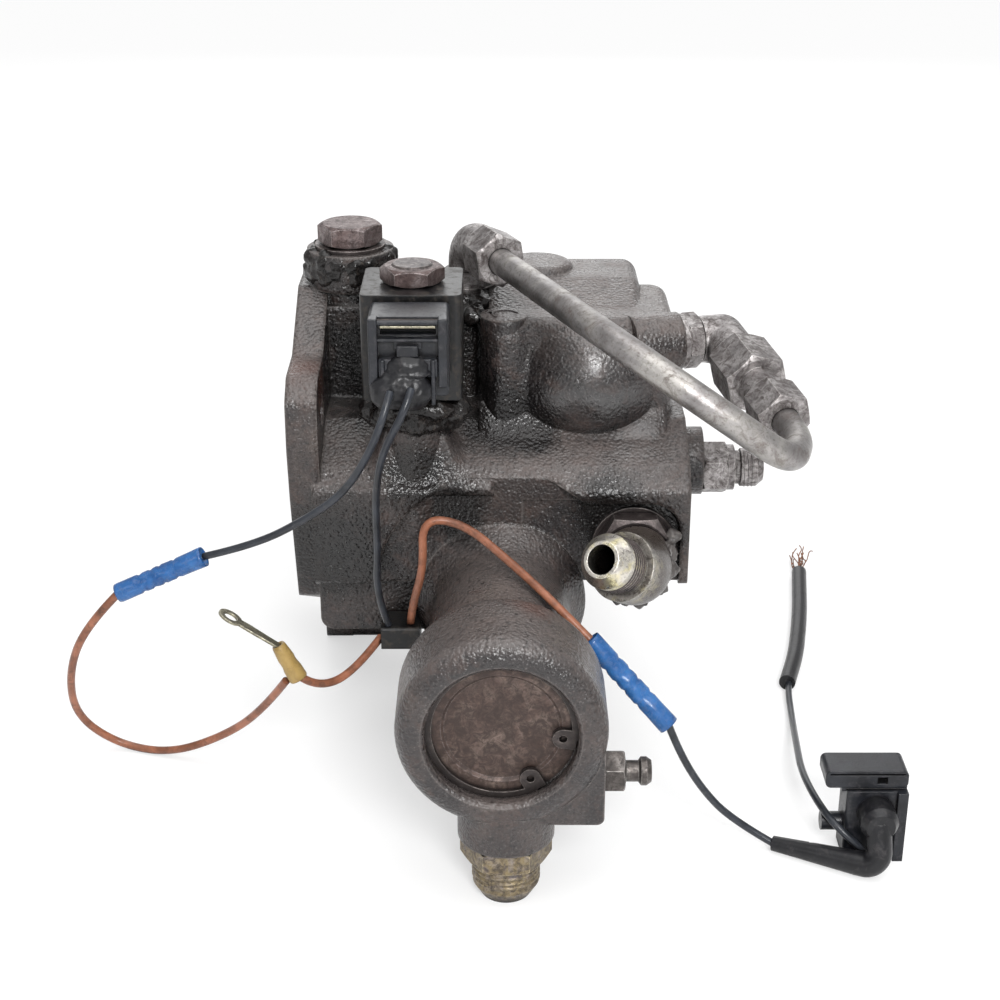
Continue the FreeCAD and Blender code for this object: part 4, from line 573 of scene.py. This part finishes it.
# %% Lead curves
def spline_of(name, route, diameter):
    curve = bpy.data.curves.new(name, "CURVE")
    curve.dimensions = "3D"
    curve.resolution_u = 14
    spline = curve.splines.new("NURBS")
    spline.points.add(len(route) - 1)
    for point, at in zip(spline.points, route):
        point.co = (*(c * MM for c in at), 1.0)
    spline.order_u = 3
    spline.use_endpoint_u = True
    curve.bevel_depth = 0
    piece = into_scene(name, curve)
    bpy.context.view_layer.update()
    line = bpy.data.meshes.new_from_object(piece)
    points = [vertex.co.copy() for vertex in line.vertices]
    length = sum((b - a).length for a, b in zip(points, points[1:]))
    bpy.data.meshes.remove(line)
    curve.bevel_depth = diameter * MM / 2
    curve.bevel_resolution = 6
    curve.use_fill_caps = True
    return piece, points, length


def lay_lead(node, diameter, finish):
    piece, points, length = spline_of(node + "_wire", ROUTES[node], diameter)
    piece.data.materials.append(FINISH[finish])
    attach(piece, "housing")
    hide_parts(node)
    print(f"{node}: {length * 1000:.0f} mm")
    return piece


# %% [markdown]
# ## Crimped splices and the ring terminal
# A butt splice is a nylon tube over a copper barrel, crushed flat by the crimping tool, whose jaws also leave
# ridges. Rings of vertices along the tube model this: each ring has its own width and height, and the crushed
# ones are low and wide. The first and last rings lie inside the tube, which makes its mouths hollow. The same
# function makes the ring terminal's sleeve. The terminal itself is a thin plate with an eye, seen almost edge on.

# %% Ringed tubes
def frame_along(start, end, up=(0, 0, 1)):
    way = (end - start).normalized()
    side = way.cross(Vector(up)).normalized()
    return way, side, side.cross(way).normalized()


def ringed_tube(name, start, end, rings, finish, around=28, up=(0, 0, 1)):
    """rings are (share of length, half width, half height) in millimetres; both ends are closed."""
    way, side, top = frame_along(start, end, up)
    span = end - start
    vertices = []
    faces = []
    for share, wide, high in rings:
        middle = start + span * share
        for k in range(around):
            angle = 2 * math.pi * k / around
            vertices.append(middle + side * (math.cos(angle) * wide * MM) + top * (math.sin(angle) * high * MM))
    for i in range(len(rings) - 1):
        for k in range(around):
            n = (k + 1) % around
            faces.append((i * around + k, i * around + n, (i + 1) * around + n, (i + 1) * around + k))
    faces.append(tuple(reversed(range(around))))
    faces.append(tuple(range((len(rings) - 1) * around, len(rings) * around)))
    mesh = bpy.data.meshes.new(name)
    mesh.from_pydata([tuple(v) for v in vertices], [], faces)
    mesh.materials.append(FINISH[finish])
    for polygon in mesh.polygons:
        polygon.use_smooth = len(polygon.vertices) == 4
    piece = into_scene(name, mesh)
    return piece


def point(at):
    return Vector(at) * MM


# %% Butt splices
# (share of length, half width, half height)
CRIMPED = [
    (0.12, 1.6, 1.6), (0.03, 2.7, 2.7), (0.00, 3.0, 3.0), (0.00, 3.4, 3.4), (0.03, 3.5, 3.5), (0.20, 3.5, 3.4),
    (0.25, 3.6, 3.2), (0.28, 3.1, 2.6), (0.32, 3.6, 3.0), (0.38, 3.8, 2.6), (0.41, 3.3, 2.4), (0.45, 3.6, 3.1),
    (0.49, 3.6, 3.3), (0.52, 3.1, 2.9), (0.55, 3.6, 3.3), (0.61, 3.7, 2.7), (0.65, 3.8, 2.6), (0.68, 3.2, 2.5),
    (0.72, 3.6, 3.2), (0.80, 3.5, 3.4), (0.96, 3.6, 3.6), (1.00, 3.6, 3.6), (1.00, 3.0, 3.0), (0.95, 2.8, 2.8),
    (0.86, 1.6, 1.6)]
for side_name, start, end in (("left_splice", ROUTES["lead_left_loop"][0], ROUTES["lead_to_left_splice"][-1]),
                              ("right_splice", ROUTES["lead_over_neck"][-1], ROUTES["lead_to_connector"][0])):
    splice = ringed_tube(side_name + "_sleeve", point(start), point(end), CRIMPED, "blue_nylon",
                         up=(0, -0.5, 0.8))
    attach(splice, "housing")
    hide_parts(side_name)

# %% Ring terminal
SLEEVE_FOOT = point((3.4, -61.6, -52.4))
SLEEVE_HEAD = point((-3.4, -60.6, -39.6))
TERMINAL_AT = point((-2.6, -60.8, -41.0))
TERMINAL_WAY = Vector((-0.83, 0.13, 0.50)).normalized()
to_camera = (CAMERA_AT - TERMINAL_AT).normalized()
edge_on = TERMINAL_WAY.cross(to_camera).normalized()
flat = (edge_on + 0.42 * (to_camera - TERMINAL_WAY * to_camera.dot(TERMINAL_WAY)).normalized()).normalized()
across = TERMINAL_WAY.cross(flat)
sleeve = ringed_tube("terminal_sleeve", SLEEVE_FOOT, SLEEVE_HEAD, [
    (0.10, 1.4, 1.4), (0.00, 2.6, 2.6), (0.00, 3.2, 3.2), (0.04, 3.4, 3.4), (0.30, 3.3, 3.3), (0.42, 3.6, 2.9),
    (0.50, 3.5, 2.8), (0.62, 3.2, 3.0), (0.78, 3.0, 2.8), (0.94, 2.9, 2.5), (1.00, 2.6, 2.2), (1.00, 2.0, 1.6),
    (0.92, 1.6, 1.2)], "yellow_nylon", up=flat)
EYE_R, HOLE_R, THICK, REACH = 4.4, 2.6, 0.9, 20.5  # the eye, its hole, the plate, and sleeve to eye
outer = [(-2.0, 1.8), (6.0, 1.9), (13.0, 2.3)]
outer += [(REACH - EYE_R * math.cos(math.radians(a)), EYE_R * math.sin(math.radians(a)))
          for a in range(28, 180, 12)]
outer += [(REACH + EYE_R, 0.0)]
outline = outer + [(x, -y) for x, y in reversed(outer[:-1])]
inner = [(REACH + HOLE_R * math.cos(2 * math.pi * k / 24), HOLE_R * math.sin(2 * math.pi * k / 24))
         for k in range(24)]


def plate_with_hole(rim, hole, thick):
    """A flat plate from its rim and one hole, by way of Blender's own curve filling."""
    outline_curve = bpy.data.curves.new("plate_outline", "CURVE")
    outline_curve.dimensions = "2D"
    outline_curve.fill_mode = "BOTH"
    outline_curve.extrude = thick / 2 * MM
    outline_curve.bevel_depth = 0.12 * MM
    for loop in (rim, hole):
        spline = outline_curve.splines.new("POLY")
        spline.points.add(len(loop) - 1)
        for target, (x, y) in zip(spline.points, loop):
            target.co = (x * MM, y * MM, 0, 1)
        spline.use_cyclic_u = True
    holder = into_scene("plate_outline", outline_curve)
    bpy.context.view_layer.update()
    flat_mesh = bpy.data.meshes.new_from_object(holder)
    bpy.data.objects.remove(holder)
    return flat_mesh


tongue_mesh = plate_with_hole(outline, inner, THICK - 0.24)
turn = Matrix((TERMINAL_WAY, across, flat)).transposed().to_4x4()
tongue_mesh.transform(Matrix.Translation(TERMINAL_AT + flat * THICK / 2 * MM) @ turn)
tongue_mesh.materials.clear()
tongue_mesh.materials.append(FINISH["tinned"])
tongue = into_scene("terminal_tongue", tongue_mesh)
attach(sleeve, "housing")
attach(tongue, "housing")
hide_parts("ring_terminal")
print("terminal plate faces:", len(tongue_mesh.polygons))

# %% [markdown]
# ## Bare strands
# Where the loose lead was cut, its copper strands stick out of the sleeve and spread. Each is a short curve that
# leans its own way and wavers a little more towards its tip. Chance sets both, from the seed given at the start.

# %% Bare strands at the cut end
STRAND_ROOT = Vector((210.9, 121.8, -99.9)) * MM
STRAND_WAY = Vector((6.4, 42.8, 0.0)).normalized()
strand_curve = bpy.data.curves.new("bare_strands", "CURVE")
strand_curve.dimensions = "3D"
strand_curve.bevel_depth = 0.25 * MM
strand_curve.bevel_resolution = 2
for k in range(13):
    spline = strand_curve.splines.new("NURBS")
    spline.points.add(5)
    lean = Vector((random.uniform(-1, 1), 0, random.uniform(-0.3, 1.0)))
    root = Vector((random.uniform(-1.6, 1.6), 0, random.uniform(-1.6, 1.6))) * MM
    long = random.uniform(8, 20)
    for i, target in enumerate(spline.points):
        share = i / 5
        jitter = Vector((random.uniform(-1, 1), random.uniform(-1, 1), random.uniform(-0.8, 0.8))) * 2.2 * share
        at = STRAND_ROOT + root + (STRAND_WAY * long * share + lean * 4.2 * share + jitter) * MM
        at.z = max(at.z, FLOOR_Z + 0.4 * MM)
        target.co = (*at, 1.0)
    spline.order_u = 3
    spline.use_endpoint_u = True
strands = into_scene("bare_strands", strand_curve)
strand_curve.materials.append(FINISH["copper"])
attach(strands, "housing")
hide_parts("tail_strands")
print("strands:", len(strand_curve.splines))

# %% Lay the leads
lay_lead("lead_to_left_splice", BLACK_LEAD, "black_pvc")
lay_lead("lead_left_loop", BROWN_LEAD, "brown_pvc")
lay_lead("lead_ring_to_clip", BROWN_LEAD, "brown_pvc")
lay_lead("lead_to_clip", BLACK_LEAD, "black_pvc")
lay_lead("lead_over_neck", BROWN_LEAD, "brown_pvc")
lay_lead("lead_to_connector", BLACK_LEAD, "black_pvc")
lay_lead("lead_tail", BLACK_LEAD, "black_pvc")

# %% [markdown]
# ## Screw threads
# CAD leaves threads as plain cylinders at their outside diameter. A real one is a ridge that winds round the
# stem, 14 to 18 to the inch. A swept triangle would need thousands of faces in CAD, but here it is a short
# loop: each turn has 40 steps, and each step has a root, a crest and a root. Both ends fade out, as a die leaves
# them.

# %% Thread ridges
def thread(name, start, way, radius, pitch, long, finish, height=0.55):
    """A ridge round a stem. Its crest stands a little above the stem's plain cylinder. Sizes in millimetres."""
    way = Vector(way).normalized()
    side = way.orthogonal().normalized()
    up = way.cross(side)
    steps = 40
    total = int(steps * (long - pitch) / pitch)
    vertices = []
    faces = []
    for i in range(total + 1):
        angle = 2 * math.pi * i / steps
        out = side * math.cos(angle) + up * math.sin(angle)
        fade = min(1.0, i / 12, (total - i) / 12)
        low = radius - 0.05
        for shift, lift in ((0.08, 0.0), (0.42, height * 0.6 * fade), (0.58, height * 0.6 * fade), (0.92, 0.0)):
            at = start + (way * (pitch * i / steps + pitch * shift) + out * (low + lift)) * MM
            vertices.append(tuple(at))
    for i in range(total):
        for k in range(3):
            a = i * 4 + k
            faces.append((a, a + 1, a + 5, a + 4))
    mesh = bpy.data.meshes.new(name)
    mesh.from_pydata(vertices, [], faces)
    mesh.materials.append(FINISH[finish])
    for polygon in mesh.polygons:
        polygon.use_smooth = False
    piece = into_scene(name, mesh)
    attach(piece, "housing")
    print(f"{name}: {total / steps:.1f} turns")
    return piece


INCH = 25.4
thread("inlet_thread", point((76.0, -113.5, -90.0)), (0, 0, -1), 11.1, INCH / 14, 9.0, "yellow_zinc")
thread("side_outlet_thread", point((162.6, -2.0, 3.3)), (1, 0, 0), 7.05, INCH / 18, 5.4, "fitting_zinc", 0.4)
outlet_turn = math.radians(45)
outlet_way = Vector((
    -math.sin(outlet_turn) * 0.70, -math.cos(outlet_turn), math.sin(outlet_turn) * 0.714)).normalized()
outlet_centre = point((121.6, -56.5, -13.5))
thread("front_outlet_thread", outlet_centre + outlet_way * 13.6 * MM, outlet_way, 9.5, INCH / 16, 9.6,
       "dark_steel")

# %% [markdown]
# ## Cast blends
# A pattern maker never leaves a sharp inside corner in a casting, because the iron would crack there. CAD has the
# main bodies of the housing, with sharp creases where a boss or the round swelling meets the wall. Each crease is
# filled by a thin slab whose face is a smooth maximum of the bodies behind it: a little above them in the crease,
# and just under their skin everywhere else. The slab's edges dive into the iron, so no seam shows.

# %% Blend slabs
def smooth_max(first, second, reach):
    """The larger of two heights, lifted a little where they are less than reach apart."""
    near = max(reach - abs(first - second), 0.0) / reach
    return max(first, second) + near * near * reach / 4


def blend_slab(name, across_mm, along_mm, step, height, to_space, thick=3.0):
    """A closed slab over a grid. height gives its face, and to_space turns (across, along, height) to x, y, z.
    Its last 4 mm dive up to 1.6 mm into the iron."""
    columns = round((across_mm[1] - across_mm[0]) / step) + 1
    rows = round((along_mm[1] - along_mm[0]) / step) + 1
    face, back = [], []
    for j in range(rows):
        for i in range(columns):
            u, v = across_mm[0] + i * step, along_mm[0] + j * step
            rim = min(i, j, columns - 1 - i, rows - 1 - j) * step
            top = height(u, v) - 0.12 - 1.6 * max(0.0, 1.0 - rim / 4.0)
            face.append(tuple(point(to_space(u, v, top))))
            back.append(tuple(point(to_space(u, v, top - thick))))
    faces = []
    total = rows * columns
    for j in range(rows - 1):
        for i in range(columns - 1):
            a = j * columns + i
            quad = (a, a + 1, a + columns + 1, a + columns)
            faces += [quad, tuple(total + k for k in reversed(quad))]
    border = ([i for i in range(columns)] + [j * columns + columns - 1 for j in range(1, rows)]
              + [(rows - 1) * columns + i for i in reversed(range(columns - 1))]
              + [j * columns for j in reversed(range(1, rows - 1))])
    for a, b in zip(border, border[1:] + border[:1]):
        faces.append((b, a, total + a, total + b))
    mesh = bpy.data.meshes.new(name)
    mesh.from_pydata(face + back, [], faces)
    tidy = bmesh.new()
    tidy.from_mesh(mesh)
    bmesh.ops.recalc_face_normals(tidy, faces=tidy.faces)
    tidy.to_mesh(mesh)
    tidy.free()
    for polygon in mesh.polygons:
        polygon.use_smooth = True
    mesh.materials.append(FINISH["cast_iron"])
    piece = into_scene(name, mesh)
    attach(piece, "housing")
    print(f"{name}: {rows} x {columns}")
    return piece


# %% The upper wall with its round swelling and corner boss
# The casting's own sizes in millimetres, as in CAD. "Out" is towards the camera, so it is minus Y.
WALL_OUT = 9.5
SWELLING_AT, SWELLING_OUT, SWELLING_R = (105.5, 36.5), -4.0, 25.0
BOSS_X, BOSS_OUT, BOSS_R = 75.5, 3.5, 8.5


def upper_wall_face(x, z):
    """How far out the wall, the swelling and the boss reach, whichever is farther, with soft creases."""
    ball_under = SWELLING_R ** 2 - (x - SWELLING_AT[0]) ** 2 - (z - SWELLING_AT[1]) ** 2
    swelling = SWELLING_OUT + math.sqrt(ball_under) if ball_under > 0 else SWELLING_OUT
    boss_under = BOSS_R ** 2 - (x - BOSS_X) ** 2
    boss = BOSS_OUT + math.sqrt(boss_under) if boss_under > 0 else BOSS_OUT
    return smooth_max(smooth_max(WALL_OUT, swelling, 11.0), boss, 7.0)


blend_slab("wall_blend", (69.0, 131.0), (20.0, 60.0), 1.0, upper_wall_face, lambda x, z, out: (x, -out, z))


# %% The foot of the solenoid's seat, and of the upper wall
LEDGE_EDGE_Y, LEDGE_EDGE_Z, LEDGE_RISE, LEDGE_RUN, LEDGE_TOP = -31.0, 15.5, 9.5, 23.0, 25.0
SEAT_X, SEAT_Y, SEAT_R, SEAT_TOP = 44.2, -24.6, 11.0, 30.0
SLAB_FRONT_Y = -37.0


def ledge_height(y):
    """The ledge slopes gently up to the wall, and at 45 degrees in front of its edge."""
    if y < LEDGE_EDGE_Y:
        return LEDGE_EDGE_Z + (y - LEDGE_EDGE_Y)
    return min(LEDGE_TOP, LEDGE_EDGE_Z + (y - LEDGE_EDGE_Y) * LEDGE_RISE / LEDGE_RUN)


def seat_foot(x, y):
    """A steep cone round the seat. It fades out before the ledge's front edge, so nothing stands out there."""
    away = math.hypot(x - SEAT_X, y - SEAT_Y)
    cone = SEAT_TOP - 2.4 * (away - SEAT_R)
    rise = ledge_height(y) + 2.2 * (y - (SLAB_FRONT_Y + 1.0))
    reach = min(9.0, 2.0 + 1.2 * (y - SLAB_FRONT_Y))
    return smooth_max(ledge_height(y), min(cone, rise), reach)


def wall_foot(_x, y):
    """A ramp against the wall, the same all along it."""
    steep = LEDGE_TOP + 1.6 * (y + 12.5)
    return smooth_max(ledge_height(y), min(steep, 33.0), 7.0)


blend_slab("seat_blend", (18.0, 72.0), (SLAB_FRONT_Y, -4.0), 1.0, seat_foot,
           lambda x, y, top: (x, y, top), thick=1.0)
blend_slab("wall_foot_blend", (66.0, 134.0), (-24.0, -6.0), 1.0, wall_foot, lambda x, y, top: (x, y, top))

# %% [markdown]
# ## Grease, dirt and the rubber boot
# Years of oil mist and dust have built black lumps in every corner where nobody wipes: under the coil, round the
# collar below the check plug, on the edge of the upper casting and behind the front elbow. A lump has no edges
# and no two are alike, so each is a handful of overlapping balls, melted into one skin by a voxel remesh and
# roughened by noise. The rubber boot on the coil's plug is old and cracked, and is made in the same way with
# finer voxels.

# %% Lumps melted into one skin
def melted(name, blobs, finish, voxel, swell):
    """blobs are (centre, radii) in millimetres; swell is how far noise moves the skin in or out."""
    balls = bmesh.new()
    for centre, radii in blobs:
        shape = Matrix.Translation(point(centre)) @ Matrix.Diagonal((*[r * MM for r in radii], 1.0))
        bmesh.ops.create_icosphere(balls, subdivisions=3, radius=1.0, matrix=shape)
    mesh = bpy.data.meshes.new(name)
    balls.to_mesh(mesh)
    balls.free()
    piece = into_scene(name, mesh)
    skin = piece.modifiers.new("one_skin", "REMESH")
    skin.mode = "VOXEL"
    skin.voxel_size = voxel * MM
    melted_mesh = bpy.data.meshes.new_from_object(
        piece.evaluated_get(bpy.context.evaluated_depsgraph_get()))
    piece.modifiers.clear()
    piece.data = melted_mesh
    normals = [vertex.normal.copy() for vertex in melted_mesh.vertices]
    for vertex, normal in zip(melted_mesh.vertices, normals):
        wave = rough_field.noise(vertex.co / (4.0 * MM)) + 0.6 * rough_field.noise(vertex.co / (1.6 * MM))
        vertex.co += normal * wave * swell * MM
        vertex.co.z = max(vertex.co.z, FLOOR_Z)
    for polygon in melted_mesh.polygons:
        polygon.use_smooth = True
    melted_mesh.materials.append(FINISH[finish])
    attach(piece, "housing")
    print(f"{name}: {len(melted_mesh.polygons)} faces")
    return piece


def ring_of_blobs(centre, radius, count, size, first=0, last=360, wobble=1.0):
    """Blobs along a level arc from first to last degree, each a little off its place and size."""
    blobs = []
    for k in range(count):
        angle = math.radians(first + (last - first) * k / count + random.uniform(-6, 6))
        reach = radius + random.uniform(-0.5, 0.5) * wobble
        grow = random.uniform(0.8, 1.2)
        blobs.append(((centre[0] + math.cos(angle) * reach, centre[1] + math.sin(angle) * reach,
                       centre[2] + random.uniform(-1.0, 1.0) * wobble), [s * grow for s in size]))
    return blobs


melted("grease_under_coil", ring_of_blobs((44.2, -25.0, 36.5), 12.5, 9, (5.5, 5.0, 6.0), 175, 365)
       + [((50.0, -40.0, 40.5), (9.0, 5.0, 3.6)), ((38.0, -39.0, 39.5), (6.5, 5.0, 3.4)),
          ((59.0, -33.0, 38.0), (5.0, 7.0, 5.0))], "grease", 0.9, 1.2)
melted("grease_on_check_collar", ring_of_blobs((18.9, 28.4, 75.4), 13.8, 26, (3.4, 3.4, 3.3))
       + ring_of_blobs((18.9, 28.4, 70.5), 14.2, 22, (3.2, 3.2, 4.0)), "grease", 0.8, 0.8)
melted("grease_on_casting_edge", [
    ((67.0, 16.0, 62.2), (4.6, 7.0, 2.6)), ((64.5, 5.0, 60.0), (4.4, 6.0, 3.4)),
    ((66.5, 26.0, 62.0), (4.4, 6.0, 2.6)), ((70.0, -2.5, 60.5), (3.0, 3.4, 2.2)),
    ((63.0, 15.0, 57.0), (4.0, 8.0, 4.0))], "grease", 0.8, 1.1)
melted("dirt_behind_front_elbow", [
    ((133.0, -45.0, -11.0), (3.0, 4.0, 4.0)), ((132.5, -46.5, -17.0), (3.2, 4.4, 4.2)),
    ((128.5, -49.0, -22.5), (4.4, 4.6, 3.2)), ((122.5, -51.0, -25.6), (4.6, 4.4, 2.6)),
    ((117.0, -52.0, -26.0), (3.4, 3.4, 1.9)), ((134.5, -41.0, -8.0), (2.2, 3.2, 2.4))],
    "grey_grease", 0.6, 1.9)

# %% The boot on the coil's plug
boot = melted("cracked_boot", [
    ((41.2, -63.6, 55.6), (9.4, 5.2, 6.6)), ((45.5, -63.2, 55.0), (6.6, 5.0, 6.4)),
    ((37.0, -63.2, 54.6), (5.6, 4.8, 5.6)), ((44.0, -62.6, 63.2), (7.2, 3.6, 4.4))] + [
    ((44.0 + 6.6 * math.cos(math.radians(a)), -62.9 - 2.4 * math.sin(math.radians(a)), 61.4), (1.5, 1.5, 0.9))
    for a in range(0, 181, 12)], "rubber", 0.5, 0.4)
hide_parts("connector_boot")

# %% [markdown]
# ## Guides on the plug, and a casting mark
# The plug slides between two upright posts that are moulded on it, under a lip with a slot for the spring clip,
# and a square tab below the slot takes the thumb. They are bevelled blocks in one mesh. On the round corner of
# the upper casting the foundry's tool left a raised crescent, a thin curved ridge.

# %% Plug guides
def bevelled_blocks(name, blocks, round_mm, finish):
    """blocks are (lowest corner, highest corner) in millimetres, joined in one piece."""
    shell = bmesh.new()
    for low_corner, high_corner in blocks:
        middle = (point(low_corner) + point(high_corner)) / 2
        size = point(high_corner) - point(low_corner)
        place = Matrix.Translation(middle) @ Matrix.Diagonal((*size, 1.0))
        made = bmesh.ops.create_cube(shell, size=1.0, matrix=place)
        edges = {edge for vertex in made["verts"] for edge in vertex.link_edges}
        bmesh.ops.bevel(shell, geom=list(edges), offset=round_mm * MM, segments=3, affect="EDGES", profile=0.5)
    mesh = bpy.data.meshes.new(name)
    shell.to_mesh(mesh)
    shell.free()
    mesh.materials.append(FINISH[finish])
    piece = into_scene(name, mesh)
    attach(piece, "housing")
    print(f"{name}: {len(blocks)} blocks")
    return piece


bevelled_blocks("plug_guides", [
    ((31.4, -63.6, 56.5), (34.4, -59.0, 79.6)), ((54.0, -63.6, 56.5), (57.0, -59.0, 79.6)),
    ((34.0, -63.0, 77.4), (54.4, -59.5, 78.8)), ((34.0, -62.6, 71.6), (54.4, -59.5, 72.8)),
    ((40.6, -64.0, 67.0), (47.6, -59.5, 70.8)), ((34.6, -63.4, 60.0), (53.8, -59.5, 66.2)),
    ((35.2, -64.0, 54.0), (36.6, -59.5, 66.0)), ((51.6, -64.0, 50.5), (53.0, -59.5, 66.0))],
    0.45, "plug_nylon")
bevelled_blocks("worn_slot_edge", [((35.4, -63.1, 76.5), (53.2, -61.0, 77.3))], 0.2, "tinned")

# %% Casting mark
mark = bpy.data.curves.new("casting_mark", "CURVE")
mark.dimensions = "3D"
mark.bevel_depth = 0.45 * MM
mark.bevel_resolution = 4
mark.use_fill_caps = True
crescent = mark.splines.new("NURBS")
crescent.points.add(8)
for i, target in enumerate(crescent.points):
    angle = math.radians(20 + 26 * i)
    target.co = (*point((75.8 + 4.6 * math.cos(angle), -3.6 + 4.6 * math.sin(angle), 62.55)), 1.0)
crescent.order_u = 3
crescent.use_endpoint_u = True
mark.materials.append(FINISH["cast_iron"])
mark_object = into_scene("casting_mark", mark)
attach(mark_object, "housing")
print("crescent points:", len(crescent.points))
